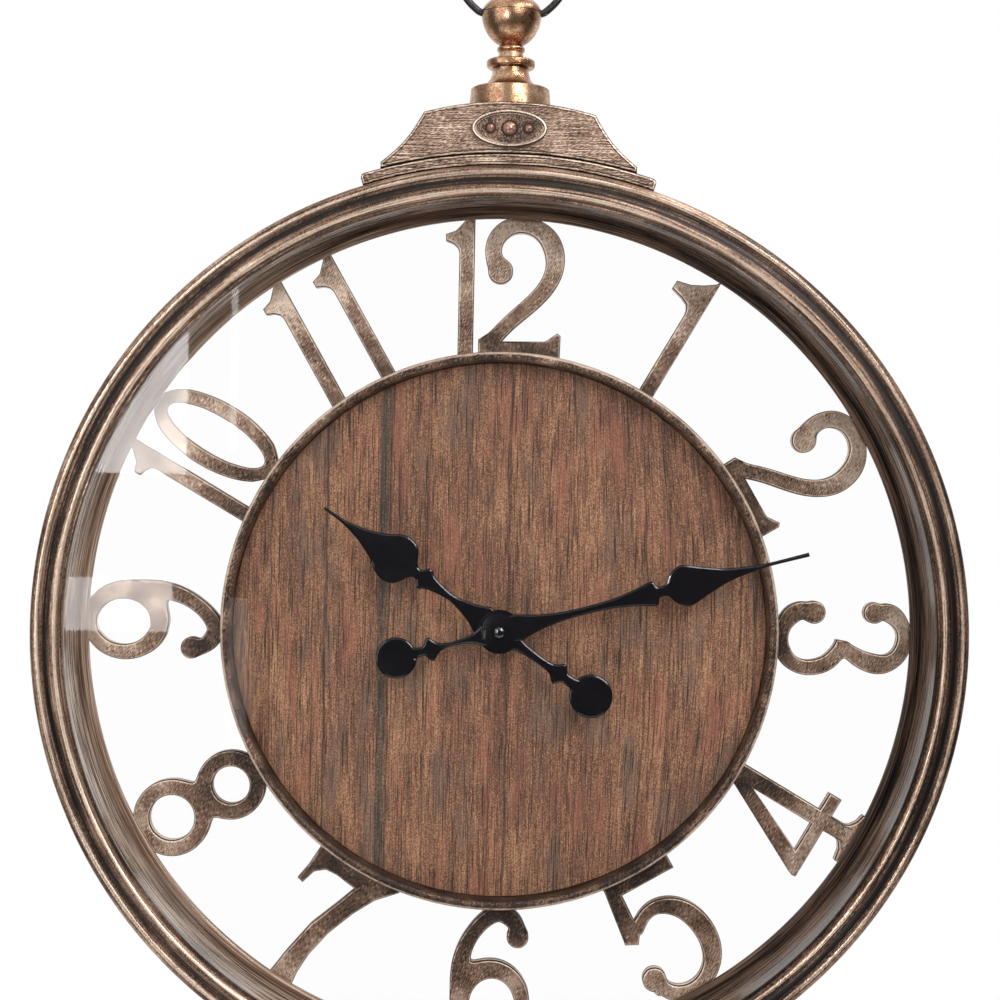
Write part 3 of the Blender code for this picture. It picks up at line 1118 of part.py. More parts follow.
def build_movement_case(make):
    """Moulded case with its bush, bearings and battery bay, the rear cover and the parts that clamp it."""
    motion, third, intermediate, rotor = axis_places()
    case = make.piece(
        "movement_case",
        BLACK_PLASTIC,
        box(-CASE_HALF_WIDTH, CASE_HALF_WIDTH, CASE_BOTTOM, CASE_TOP, CASE_BACK_DEPTH, CASE_FRONT_DEPTH),
    )
    inside = CASE_FRONT_DEPTH - MOVEMENT_WALL
    wide = CASE_HALF_WIDTH - MOVEMENT_WALL
    roof = CASE_TOP - MOVEMENT_WALL
    shelf = PARTITION_TOP - MOVEMENT_WALL
    back = CASE_BACK_DEPTH - CUT_OVERRUN
    chamber = box(-wide, wide, PARTITION_TOP, roof, back, inside)
    bay = box(-wide, wide, CASE_BOTTOM + MOVEMENT_WALL, shelf, back, CASE_FRONT_DEPTH - BATTERY_FRONT_WALL)
    make.combine(case, make.tool("gear_chamber", chamber), "DIFFERENCE")
    make.combine(case, make.tool("battery_bay", bay), "DIFFERENCE")
    bush = plate([circle(BUSH_RADIUS, SMALL_SEGMENTS)], CASE_FRONT_DEPTH - JOIN_OVERLAP, BUSH_FRONT_DEPTH)
    post_end = MOTION_WHEEL_DEPTH - SEAT_GAP
    post = plate([circle(POST_RADIUS, SMALL_SEGMENTS, *motion)], post_end, inside + JOIN_OVERLAP)
    make.join_all(case, [make.tool("bush", bush), make.tool("motion_post", post)])
    bore = plate([circle(BUSH_BORE_RADIUS, SMALL_SEGMENTS)], inside - CUT_OVERRUN / 2, BUSH_FRONT_DEPTH + CUT_OVERRUN)
    holes = [bore]
    for place in (third, intermediate, rotor):
        hole = circle(PIVOT_RADIUS + RUNNING_GAP, SMALL_SEGMENTS, *place)
        holes.append(plate([hole], inside - CUT_OVERRUN, inside + BEARING_DEPTH))
    make.combine(case, make.tool("movement_bores", merged(*holes)), "DIFFERENCE")

    cover_front = CASE_BACK_DEPTH + COVER_THICKNESS
    left = wide - SEAT_GAP
    outline = [(-left, PARTITION_TOP + SEAT_GAP), (left, PARTITION_TOP + SEAT_GAP)]
    outline += [(left, roof - SEAT_GAP), (-left, roof - SEAT_GAP)]
    hole = circle(ARBOR_TAIL_RADIUS + SEAT_GAP, SMALL_SEGMENTS)
    cover = make.piece("rear_cover", BLACK_PLASTIC, plate([outline, hole], CASE_BACK_DEPTH, cover_front))
    bearings = []
    for place in (third, intermediate, rotor):
        bearing = circle(PIVOT_RADIUS + RUNNING_GAP, SMALL_SEGMENTS, *place)
        bearings.append(plate([bearing], cover_front - BEARING_DEPTH, cover_front + CUT_OVERRUN))
    make.combine(cover, make.tool("cover_bearings", merged(*bearings)), "DIFFERENCE")

    wood_back = LEDGE_FRONT_DEPTH + SEAT_GAP
    gasket = [circle(GASKET_RADIUS, PART_SEGMENTS), circle(BUSH_RADIUS + SEAT_GAP, SMALL_SEGMENTS)]
    gasket = plate(gasket, CASE_FRONT_DEPTH + SEAT_GAP, wood_back - SEAT_GAP)
    make.piece("rubber_gasket", RUBBER, gasket)
    washer_back = wood_back + WOOD_THICKNESS + SEAT_GAP
    washer_front = washer_back + WASHER_THICKNESS
    washer = [circle(WASHER_RADIUS, PART_SEGMENTS), circle(BUSH_RADIUS + SEAT_GAP, SMALL_SEGMENTS)]
    make.piece("washer", STEEL, plate(washer, washer_back, washer_front))
    nut_radius = NUT_ACROSS_FLATS / math.sqrt(3)
    nut = [circle(nut_radius, 6), circle(BUSH_RADIUS + SEAT_GAP, SMALL_SEGMENTS)]
    nut_back = washer_front + SEAT_GAP
    make.piece("fixing_nut", BRASS, plate(nut, nut_back, nut_back + NUT_THICKNESS))


def gear(teeth, module, phase, back, front):
    """Mesh of a gear between two depths, with one tooth at the clock angle `phase`."""
    return plate([gear_outline(teeth, module, phase)], back, front)


def build_train(make):
    """Gear train from the rotor to the two hands."""
    motion, third, intermediate, rotor = axis_places()
    inside = CASE_FRONT_DEPTH - MOVEMENT_WALL
    motion_module = mesh_module(MOTION_DISTANCE, MOTION_TEETH)
    hour_module = mesh_module(MOTION_DISTANCE, HOUR_TEETH)
    centre_module = mesh_module(THIRD_DISTANCE, CENTRE_TEETH)
    third_module = mesh_module(INTERMEDIATE_DISTANCE, THIRD_TEETH)
    fine_module = mesh_module(ROTOR_DISTANCE, INTERMEDIATE_TEETH)

    # Centre wheel, cannon pinion and minute arbor
    centre_front = CENTRE_WHEEL_DEPTH + WHEEL_THICKNESS
    wheel = gear(CENTRE_TEETH, centre_module, THIRD_DIRECTION, CENTRE_WHEEL_DEPTH, centre_front)
    centre = make.piece("centre_wheel", BRASS, wheel)
    cannon_front = MOTION_WHEEL_DEPTH + WHEEL_THICKNESS + PINION_OVERLAP
    cannon = gear(PINION_TEETH, motion_module, MOTION_DIRECTION, centre_front - JOIN_OVERLAP, cannon_front)
    arbor_top = MINUTE_HAND_DEPTH + HAND_THICKNESS + HUB_DOME + HAND_NUT_SOCKET
    arbor = [
        (0, ARBOR_TAIL_DEPTH),
        (ARBOR_TAIL_RADIUS, ARBOR_TAIL_DEPTH),
        (ARBOR_TAIL_RADIUS, CENTRE_WHEEL_DEPTH - JOIN_OVERLAP),
        (MINUTE_ARBOR_RADIUS, CENTRE_WHEEL_DEPTH - JOIN_OVERLAP),
        (MINUTE_ARBOR_RADIUS, arbor_top),
        (0, arbor_top),
    ]
    arbor = turned(arbor, SMALL_SEGMENTS, closed=False)
    make.join_all(centre, [make.tool("cannon_pinion", cannon), make.tool("minute_arbor", arbor)])

    # Setting knob on the rear end of the arbor
    knob_front = CASE_BACK_DEPTH - SEAT_GAP
    rim = []
    for i in range(SETTING_KNOB_NOTCHES * 2):
        radius = SETTING_KNOB_RADIUS - SETTING_KNOB_NOTCH * (i % 2)
        rim.append(polar(radius, 180 * i / SETTING_KNOB_NOTCHES))
    knob = make.piece("setting_knob", WHITE_PLASTIC, plate([rim], KNOB_BACK_DEPTH, knob_front))
    socket = circle(ARBOR_TAIL_RADIUS + SEAT_GAP, SMALL_SEGMENTS)
    socket = plate([socket], ARBOR_TAIL_DEPTH - SEAT_GAP, knob_front + CUT_OVERRUN)
    make.combine(knob, make.tool("knob_socket", socket), "DIFFERENCE")

    # Motion wheel with the pinion that drives the hour wheel
    where = (motion[0], 0, motion[1])
    phase = driven_phase(MOTION_DIRECTION, MOTION_TEETH)
    motion_front = MOTION_WHEEL_DEPTH + WHEEL_THICKNESS
    wheel = gear(MOTION_TEETH, motion_module, phase, MOTION_WHEEL_DEPTH, motion_front)
    motion_wheel = make.piece("motion_wheel", WHITE_PLASTIC, wheel, where)
    pinion_front = inside - SEAT_GAP
    pinion = gear(PINION_TEETH, hour_module, MOTION_DIRECTION + 180, motion_front - JOIN_OVERLAP, pinion_front)
    make.join_all(motion_wheel, [make.tool("motion_pinion", pinion, where)])
    cut_bore(make, motion_wheel, POST_RADIUS + RUNNING_GAP, MOTION_WHEEL_DEPTH, pinion_front)

    # Hour wheel with its tube through the bush
    hour_phase = driven_phase(MOTION_DIRECTION + 180, HOUR_TEETH)
    tube_bore = MINUTE_ARBOR_RADIUS + SEAT_GAP
    tube_radius = tube_bore + HOUR_TUBE_WALL
    hour_front = HOUR_WHEEL_DEPTH + WHEEL_THICKNESS
    wheel = gear(HOUR_TEETH, hour_module, hour_phase, HOUR_WHEEL_DEPTH, hour_front)
    hour = make.piece("hour_wheel", WHITE_PLASTIC, wheel)
    tube_top = HOUR_HAND_DEPTH + HAND_THICKNESS + HUB_DOME
    tube = plate([circle(tube_radius, SMALL_SEGMENTS)], hour_front - JOIN_OVERLAP, tube_top)
    make.join_all(hour, [make.tool("hour_tube", tube)])
    cut_bore(make, hour, tube_bore, HOUR_WHEEL_DEPTH, tube_top)

    # Third wheel, intermediate wheel and rotor
    third_front = THIRD_WHEEL_DEPTH + THIN_WHEEL_THICKNESS
    fine_front = INTERMEDIATE_WHEEL_DEPTH + THIN_WHEEL_THICKNESS
    wheel = gear(THIRD_TEETH, third_module, INTERMEDIATE_DIRECTION, THIRD_WHEEL_DEPTH, third_front)
    phase = driven_phase(THIRD_DIRECTION, PINION_TEETH)
    pinion = gear(PINION_TEETH, centre_module, phase, third_front - JOIN_OVERLAP, centre_front + PINION_OVERLAP)
    add_pivoted(make, "third_wheel", WHITE_PLASTIC, wheel, pinion, third)
    wheel = gear(INTERMEDIATE_TEETH, fine_module, ROTOR_DIRECTION, INTERMEDIATE_WHEEL_DEPTH, fine_front)
    phase = driven_phase(INTERMEDIATE_DIRECTION, PINION_TEETH)
    pinion = gear(PINION_TEETH, third_module, phase, fine_front - JOIN_OVERLAP, third_front + PINION_OVERLAP)
    add_pivoted(make, "intermediate_wheel", WHITE_PLASTIC, wheel, pinion, intermediate)
    magnet = plate([circle(MAGNET_RADIUS, PART_SEGMENTS)], MAGNET_BACK_DEPTH, MAGNET_FRONT_DEPTH)
    phase = driven_phase(ROTOR_DIRECTION, PINION_TEETH)
    pinion_back = INTERMEDIATE_WHEEL_DEPTH - PINION_OVERLAP
    pinion = gear(PINION_TEETH, fine_module, phase, pinion_back, MAGNET_BACK_DEPTH + JOIN_OVERLAP)
    add_pivoted(make, "rotor", MAGNET_GREY, magnet, pinion, rotor)


def add_pivoted(make, name, finish, wheel, pinion, place):
    """Wheel and pinion on an arbor whose two pivots run in the bearings of the case and the cover."""
    low = CASE_BACK_DEPTH + COVER_THICKNESS - BEARING_DEPTH + RUNNING_GAP
    high = CASE_FRONT_DEPTH - MOVEMENT_WALL + BEARING_DEPTH - RUNNING_GAP
    pivot = turned([(0, low), (PIVOT_RADIUS, low), (PIVOT_RADIUS, high), (0, high)], SMALL_SEGMENTS, closed=False)
    where = (place[0], 0, place[1])
    thing = make.piece(name, finish, wheel, where)
    make.join_all(thing, [make.tool(name + "_pinion", pinion, where), make.tool(name + "_arbor", pivot, where)])


def build_electrics(make):
    """Stator, coil, circuit board, battery and its two contacts."""
    rotor = axis_places()[3]
    inside = CASE_FRONT_DEPTH - MOVEMENT_WALL
    wide = CASE_HALF_WIDTH - MOVEMENT_WALL
    roof = CASE_TOP - MOVEMENT_WALL - SEAT_GAP * 2
    hole_radius = MAGNET_RADIUS + SEAT_GAP + RUNNING_GAP
    right = rotor[0] + hole_radius + STATOR_RIM
    low = STATOR_LOW
    left = -wide + SEAT_GAP * 2
    waist = -COIL_OFFSET + COIL_CHEEK_RADIUS + SEAT_GAP
    under = rotor[1] - hole_radius - STATOR_UNDER
    outline = [
        (left, roof),
        (right - STATOR_CHAMFER, roof),
        (right, roof - STATOR_CHAMFER),
        (right, under + STATOR_CHAMFER),
        (right - STATOR_CHAMFER, under),
        (waist + STATOR_ARM * 2, under),
        (waist + STATOR_ARM, low + STATOR_ARM),
        (waist + STATOR_ARM, low),
        (left, low),
        (left, low + STATOR_ARM),
        (waist, low + STATOR_ARM),
        (waist, roof - STATOR_ARM),
        (left, roof - STATOR_ARM),
    ]
    ring = circle(hole_radius, PART_SEGMENTS, *rotor)
    stator_front = STATOR_DEPTH + STATOR_THICKNESS
    make.piece("stator", STEEL, plate([outline, ring], STATOR_DEPTH, stator_front))

    core_back = stator_front + SEAT_GAP
    core_middle = core_back + STATOR_THICKNESS / 2
    bottom = low + STATOR_ARM + SEAT_GAP
    top = roof - STATOR_ARM - SEAT_GAP
    bobbin = [
        (0, bottom),
        (COIL_CHEEK_RADIUS, bottom),
        (COIL_CHEEK_RADIUS, bottom + COIL_CHEEK),
        (COIL_RADIUS, bottom + COIL_CHEEK),
        (COIL_RADIUS, top - COIL_CHEEK),
        (COIL_CHEEK_RADIUS, top - COIL_CHEEK),
        (COIL_CHEEK_RADIUS, top),
        (0, top),
    ]
    winding = turned(bobbin, PART_SEGMENTS // 2, "Z", closed=False)
    coil = make.piece("coil", COPPER, winding, (-COIL_OFFSET, -core_middle, 0))
    half = COIL_CORE_WIDTH / 2
    core = box(-COIL_OFFSET - half, -COIL_OFFSET + half, low, roof, core_back, core_back + STATOR_THICKNESS)
    make.join_all(coil, [make.tool("coil_core", core)])

    floor = PARTITION_TOP + SEAT_GAP
    board_front = inside - SEAT_GAP
    board_back = board_front - BOARD_THICKNESS
    board = box(BOARD_LEFT, wide - SEAT_GAP, floor, BOARD_TOP, board_back, board_front)
    board = make.piece("circuit_board", GREEN_BOARD, board)
    chip = [(0, -CHIP_HEIGHT), (CHIP_TOP_RADIUS, -CHIP_SHOULDER), (CHIP_RADIUS, JOIN_OVERLAP), (0, JOIN_OVERLAP)]
    middle = ((BOARD_LEFT + wide) / 2, -board_back, (floor + BOARD_TOP) / 2)
    make.join_all(board, [make.tool("chip", turned(chip, SMALL_SEGMENTS, closed=False), middle)])

    battery_depth = CASE_FRONT_DEPTH - BATTERY_FRONT_WALL - SEAT_GAP - BATTERY_RADIUS
    bay_middle = (CASE_BOTTOM + PARTITION_TOP) / 2
    whole = BATTERY_LENGTH + BATTERY_NUB
    battery = [
        (0, -whole / 2),
        (BATTERY_RADIUS, -whole / 2),
        (BATTERY_RADIUS, BATTERY_LENGTH - whole / 2),
        (BATTERY_NUB_RADIUS, BATTERY_LENGTH - whole / 2),
        (BATTERY_NUB_RADIUS, whole / 2),
        (0, whole / 2),
    ]
    cell = turned(battery, PART_SEGMENTS, "Z", closed=False)
    turn = (0, math.pi / 2, 0)
    make.piece("battery", BLACK_GLOSS, cell, (0, -battery_depth, bay_middle), turn)
    for name, side in (("contact_plus", 1), ("contact_minus", -1)):
        near = side * (whole / 2 + SEAT_GAP)
        far = near + side * CONTACT_THICKNESS
        half_height = CONTACT_WIDTH / 2
        strip = box(
            min(near, far),
            max(near, far),
            bay_middle - half_height,
            bay_middle + half_height,
            battery_depth - half_height,
            battery_depth + half_height,
        )
        make.piece(name, STEEL, strip)


def hand_outline(length, half_width, front_shares, tail_shares, tail_place, tail_radius):
    """Closed outline of one hand, its tip straight up, with the round end of its tail."""
    front = thinned(smooth_line([(share * length, wide * half_width) for share, wide in front_shares]), HAND_TOLERANCE)
    tail = thinned(smooth_line([(share * length, wide * half_width) for share, wide in tail_shares]), HAND_TOLERANCE)
    neck = tail[-1][1]
    start = math.degrees(math.asin(neck / tail_radius))
    disc = arc(tail_radius, start, 180, PART_SEGMENTS // 2, 0, -tail_place)[:-1]
    right = [(wide, along) for along, wide in front + tail[:-1]] + disc
    left = [(-across, up) for across, up in right[::-1]]
    return right + [(0, -tail_place - tail_radius)] + left


def cut_bore(make, thing, radius, back, front):
    """Cuts a round hole through a piece, along the piece's own axis."""
    hole = plate([circle(radius, SMALL_SEGMENTS)], back - CUT_OVERRUN, front + CUT_OVERRUN)
    cutter = make.tool(thing.name + "_bore", hole, thing.location, thing.rotation_euler)
    make.combine(thing, cutter, "DIFFERENCE")


def build_hands(make):
    """Hour hand on its tube, minute hand on its arbor and the domed nut."""
    tube_radius = MINUTE_ARBOR_RADIUS + SEAT_GAP + HOUR_TUBE_WALL
    outline = hand_outline(
        HOUR_HAND_LENGTH, HOUR_SPADE_HALF_WIDTH, HOUR_HAND_SHARES, HOUR_TAIL_SHARES, HOUR_TAIL_PLACE, HOUR_TAIL_RADIUS
    )
    turn = (0, math.radians(HOUR_HAND_ANGLE), 0)
    front = HOUR_HAND_DEPTH + HAND_THICKNESS
    hour = make.piece("hour_hand", BLACK_GLOSS, plate([outline], HOUR_HAND_DEPTH, front), (0, 0, 0), turn)
    hub = [
        (0, HOUR_HAND_DEPTH - HAND_COLLAR_LENGTH),
        (HAND_COLLAR_RADIUS, HOUR_HAND_DEPTH - HAND_COLLAR_LENGTH),
        (HAND_COLLAR_RADIUS, front - JOIN_OVERLAP),
        (HOUR_HUB_RADIUS, front - JOIN_OVERLAP),
        ((HOUR_HUB_RADIUS + HUB_CREST_RADIUS) / 2, front + HUB_SHOULDER),
        (HUB_CREST_RADIUS, front + HUB_DOME),
        (0, front + HUB_DOME),
    ]
    hub = turned(hub, PART_SEGMENTS, closed=False)
    make.join_all(hour, [make.tool("hour_hub", hub, (0, 0, 0), turn)])
    cut_bore(make, hour, tube_radius + SEAT_GAP, HOUR_HAND_DEPTH - HAND_COLLAR_LENGTH, front + HUB_DOME)

    outline = hand_outline(
        MINUTE_HAND_LENGTH, MINUTE_SPADE_HALF_WIDTH, MINUTE_HAND_SHARES, MINUTE_TAIL_SHARES, MINUTE_TAIL_PLACE,
        MINUTE_TAIL_RADIUS,
    )
    bore = MINUTE_ARBOR_RADIUS + SEAT_GAP
    turn = (0, math.radians(MINUTE_HAND_ANGLE), 0)
    front = MINUTE_HAND_DEPTH + HAND_THICKNESS
    minute = make.piece("minute_hand", BLACK_GLOSS, plate([outline], MINUTE_HAND_DEPTH, front), (0, 0, 0), turn)
    hub = [
        (0, front - JOIN_OVERLAP),
        (MINUTE_HUB_RADIUS, front - JOIN_OVERLAP),
        ((MINUTE_HUB_RADIUS + HUB_CREST_RADIUS) / 2, front + HUB_SHOULDER),
        (HUB_CREST_RADIUS, front + HUB_DOME),
        (0, front + HUB_DOME),
    ]
    hub = turned(hub, PART_SEGMENTS, closed=False)
    make.join_all(minute, [make.tool("minute_hub", hub, (0, 0, 0), turn)])
    cut_bore(make, minute, bore, MINUTE_HAND_DEPTH, front + HUB_DOME)

    nut_back = front + HUB_DOME + SEAT_GAP
    dome = arc(HAND_NUT_RADIUS, 90, 0, ARC_STEPS // 2)
    profile = [(0, 0), (HAND_NUT_RADIUS, 0)] + [
        (radius, HAND_NUT_HEIGHT * (1 + along / HAND_NUT_RADIUS) / 2) for radius, along in dome
    ]
    profile[-1] = (0, HAND_NUT_HEIGHT)
    nut = make.piece("hand_nut", BLACK_GLOSS, turned(profile, SMALL_SEGMENTS, closed=False), (0, -nut_back, 0))
    socket = plate([circle(bore, SMALL_SEGMENTS)], -CUT_OVERRUN, HAND_NUT_SOCKET + SEAT_GAP)
    make.combine(nut, make.tool("nut_socket", socket, (0, -nut_back, 0)), "DIFFERENCE")


def main():
    """Builds the clock at rest."""
    clear_scene()
    make = Builder()
    build_case(make)
    build_dial(make)
    build_hanger(make)
    build_crown_plate(make)
    build_knob(make)
    build_movement_case(make)
    build_train(make)
    build_electrics(make)
    build_hands(make)


if __name__ == "__main__":
    main()
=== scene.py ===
"""Studio scene of a round wall clock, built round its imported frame.

Metres, +Z up, and the front faces -Y. A depth is the distance in front of the wall, so a point at a depth lies at
y = -depth. Clock angles run clockwise from twelve, seen from the front, round the centre of the dial.
"""

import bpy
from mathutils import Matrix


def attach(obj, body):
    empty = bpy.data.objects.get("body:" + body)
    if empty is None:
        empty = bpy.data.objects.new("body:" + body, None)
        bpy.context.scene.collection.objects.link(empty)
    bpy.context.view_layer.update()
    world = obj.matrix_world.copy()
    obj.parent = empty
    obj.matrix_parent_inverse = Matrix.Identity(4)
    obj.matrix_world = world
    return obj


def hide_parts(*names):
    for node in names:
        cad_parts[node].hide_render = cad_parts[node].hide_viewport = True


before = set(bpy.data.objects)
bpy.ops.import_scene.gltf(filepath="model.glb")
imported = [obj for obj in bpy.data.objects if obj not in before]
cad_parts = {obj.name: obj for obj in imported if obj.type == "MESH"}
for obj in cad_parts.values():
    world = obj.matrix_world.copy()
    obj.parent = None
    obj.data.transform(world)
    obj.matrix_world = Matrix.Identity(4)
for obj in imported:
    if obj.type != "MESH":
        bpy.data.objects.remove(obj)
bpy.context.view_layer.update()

import logging
import math
from dataclasses import dataclass
from enum import Enum
from typing import Callable, Sequence, Union

import bmesh
import bpy
from mathutils import Matrix, Vector
from mathutils.geometry import delaunay_2d_cdt, interpolate_bezier

logging.basicConfig(level=logging.INFO, format="%(message)s")
log = logging.getLogger("wall_clock")

Socket = bpy.types.NodeSocket
Colour = tuple[float, float, float]
Point = tuple[float, float]
Triple = tuple[float, float, float]
Line = tuple[float, float, float, float]
Loop = list[Point]

CENTRE_Z = -0.242
MERGE_DISTANCE = 0.000001
OUTLINE_MERGE_DISTANCE = 0.0002
MITRE_LIMIT = 1.5
SMOOTHED_GAP = 0.0026
SMOOTHINGS = 14
CROWN_DEPTH = 0.042
FIT = 0.0003
RING_STEPS = 240
PIECE_STEPS = 72
CURVE_STEPS = 8
ARC_STEPS = 10
SHARP_ANGLE = 40.0
PLATE_SHARP_ANGLE = 50.0
HAND_SHARP_ANGLE = 10.0
GLASS_SHARP_ANGLE = 20.0
WIRE_SHARP_ANGLE = 60.0
STREAK_RADIUS = 0.2
HOURS = 12
ROW_UNIT = 1000
STROKE_ROW = 3
ELLIPSE_ROW = 4
MEDALLION_HEIGHT = 0.2736
# Place across and radius of each bead
MEDALLION_BEADS = ((0, 0.0037), (-0.0103, 0.0023), (0.0103, 0.0023))


class Run(Enum):
    """Way in which a brushed finish runs over a piece."""

    ROUND_DIAL = "round the dial"
    SIDEWAYS = "sideways"
    SPECKLED = "speckled"


class Turn(Enum):
    """Axis that a turned piece is turned round."""

    DIAL = "level, through the middle of the dial"
    CROWN = "upright, through the knob"


# Shader graphs


def operation(kind: str) -> Callable[..., "Number"]:
    """Method that puts numbers through one kind of sum.

    Args:
        kind: The operation of a Math node.

    Returns:
        The method, for a class of numbers.
    """

    def method(self: "Number", *others: Union[float, Socket, "Number"]) -> "Number":
        """Result of the sum."""
        return self.graph.math(kind, self, *others)

    return method


class Number:
    """A number in a shader graph, on which plain sums work."""

    __add__, __sub__, __mul__ = operation("ADD"), operation("SUBTRACT"), operation("MULTIPLY")
    __truediv__, __abs__ = operation("DIVIDE"), operation("ABSOLUTE")

    def __init__(self, graph: "Graph", socket: Socket) -> None:
        """Holds an output of a node."""
        self.graph, self.socket = graph, socket


Value = Union[float, Socket, Number]


class Graph:
    """Nodes of one material or of the world."""

    def __init__(self, name: str, world: bool = False) -> None:
        """Starts a material or the world.

        Args:
            name: Its name.
            world: Whether it is the world.
        """
        self.owner = (bpy.data.worlds if world else bpy.data.materials).new(name)
        self.owner.use_nodes = True
        self.nodes = self.owner.node_tree.nodes
        self.shader = self.nodes["Background" if world else "Principled BSDF"]

    def give(self, socket: Socket, value: Union[Value, Sequence[float]]) -> None:
        """Links a socket or sets its own value.

        Args:
            socket: The input.
            value: A number of the graph, an output, a plain number or a colour.
        """
        value = value.socket if isinstance(value, Number) else value
        if isinstance(value, bpy.types.NodeSocket):
            self.owner.node_tree.links.new(value, socket)
        elif socket.type == "RGBA":
            socket.default_value = (*value, 1.0)
        else:
            socket.default_value = value

    def node(self, kind: str, inputs: dict, **settings: object) -> bpy.types.Node:
        """Adds a node.

        Args:
            kind: Identifier of the node type.
            inputs: Sockets or plain values by input name or number.
            settings: Properties of the node.

        Returns:
            The new node.
        """
        made = self.nodes.new(kind)
        for name, value in settings.items():
            setattr(made, name, value)
        for name, value in inputs.items():
            self.give(made.inputs[name], value)
        return made

    def number(self, kind: str, inputs: dict, output: object = 0, **settings: object) -> Number:
        """Adds a node and takes one number from it."""
        return Number(self, self.node(kind, inputs, **settings).outputs[output])

    def set(self, **values: object) -> None:
        """Sets the shader's inputs; an underscore stands for a space."""
        for name, value in values.items():
            self.give(self.shader.inputs[name.replace("_", " ")], value)

    def math(self, operation: str, *values: Value) -> Number:
        """Result of one operation."""
        return self.number("ShaderNodeMath", dict(enumerate(values)), operation=operation)

    def place(self, coordinates: str = "Object") -> tuple[Number, Number, Number]:
        """Coordinates, as three numbers."""
        where = self.nodes.new("ShaderNodeTexCoord").outputs[coordinates]
        return tuple(Number(self, part) for part in self.node("ShaderNodeSeparateXYZ", {0: where}).outputs)

    def vector(self, x: Value, y: Value, z: Value) -> Socket:
        """Vector of three numbers."""
        return self.node("ShaderNodeCombineXYZ", {0: x, 1: y, 2: z}).outputs[0]

    def noise(self, where: Sequence[Value], scale: float, detail: float = 3.0, roughness: float = 0.6) -> Number:
        """Noise between nought and one, at three numbers."""
        inputs = {"Vector": self.vector(*where), "Scale": scale, "Detail": detail, "Roughness": roughness}
        return self.number("ShaderNodeTexNoise", inputs, "Fac")

    def band(self, value: Value, low: float, high: float, start: float = 0.0, end: float = 1.0) -> Number:
        """Smooth step of a value between two limits."""
        inputs = {"Value": value, 1: low, 2: high, 3: start, 4: end}
        return self.number("ShaderNodeMapRange", inputs, interpolation_type="SMOOTHSTEP")

    def ridge(self, value: Number, place: float, near: float, far: float, gain: float) -> Number:
        """Gain where a value is within `near` of a place, falling to nought `far` from it."""
        return self.band(abs(value - place), near, far, gain, 0.0)

    def mix(self, share: Value, first: object, second: object) -> Socket:
        """Mix of two colours."""
        return self.node("ShaderNodeMix", {0: share, 6: first, 7: second}, data_type="RGBA").outputs[2]

    def bump(self, height: Number, distance: float, strength: float = 0.5) -> None:
        """Gives the shader a bumped normal."""
        made = self.node("ShaderNodeBump", {"Height": height, "Distance": distance, "Strength": strength})
        self.set(Normal=made.outputs[0])

    def reach(self, x: Number, y: Number) -> Number:
        """Length of a step of two numbers."""
        return self.math("SQRT", x * x + y * y)

    def round_dial(self) -> tuple[Number, Number, Number]:
        """Place round the dial.

        Returns:
            Unit direction from its centre, across and up, and the distance from it.
        """
        x, _, z = self.place()
        up = z - CENTRE_Z
        radius = self.reach(x, up)
        return x / radius, up / radius, radius


class Finish:
    """A finish, which paints a new material."""

    def paint(self, graph: Graph) -> None:
        """Sets up the shader."""

    def make(self, name: str) -> bpy.types.Material:
        """Builds the material.

        Args:
            name: Its name.

        Returns:
            The material.
        """
        graph = Graph(name)
        self.paint(graph)
        return graph.owner


@dataclass(frozen=True)
class Plain(Finish):
    """Plain paint, plastic, rubber or metal with a fine grain and faint marks."""

    colour: Colour
    roughness: float
    metallic: float = 0.0
    grain: float = 900.0
    relief: float = 0.00004
    coarser: float = 14.0
    darker: float = 0.82
    lighter: float = 1.12

    def paint(self, graph: Graph) -> None:
        """Sets up the shader.

        Args:
            graph: Nodes of the new material.
        """
        fine = graph.noise(graph.place(), self.grain)
        broad = graph.noise(graph.place(), self.grain / self.coarser)
        dark = tuple(part * self.darker for part in self.colour)
        light = tuple(min(part * self.lighter, 1.0) for part in self.colour)
        graph.set(Base_Color=graph.mix(broad, dark, light), Metallic=self.metallic)
        graph.set(Roughness=graph.band(fine, 0.2, 0.8, self.roughness * 0.8, min(self.roughness * 1.25, 1.0)))
        graph.bump(fine, self.relief, 0.4)


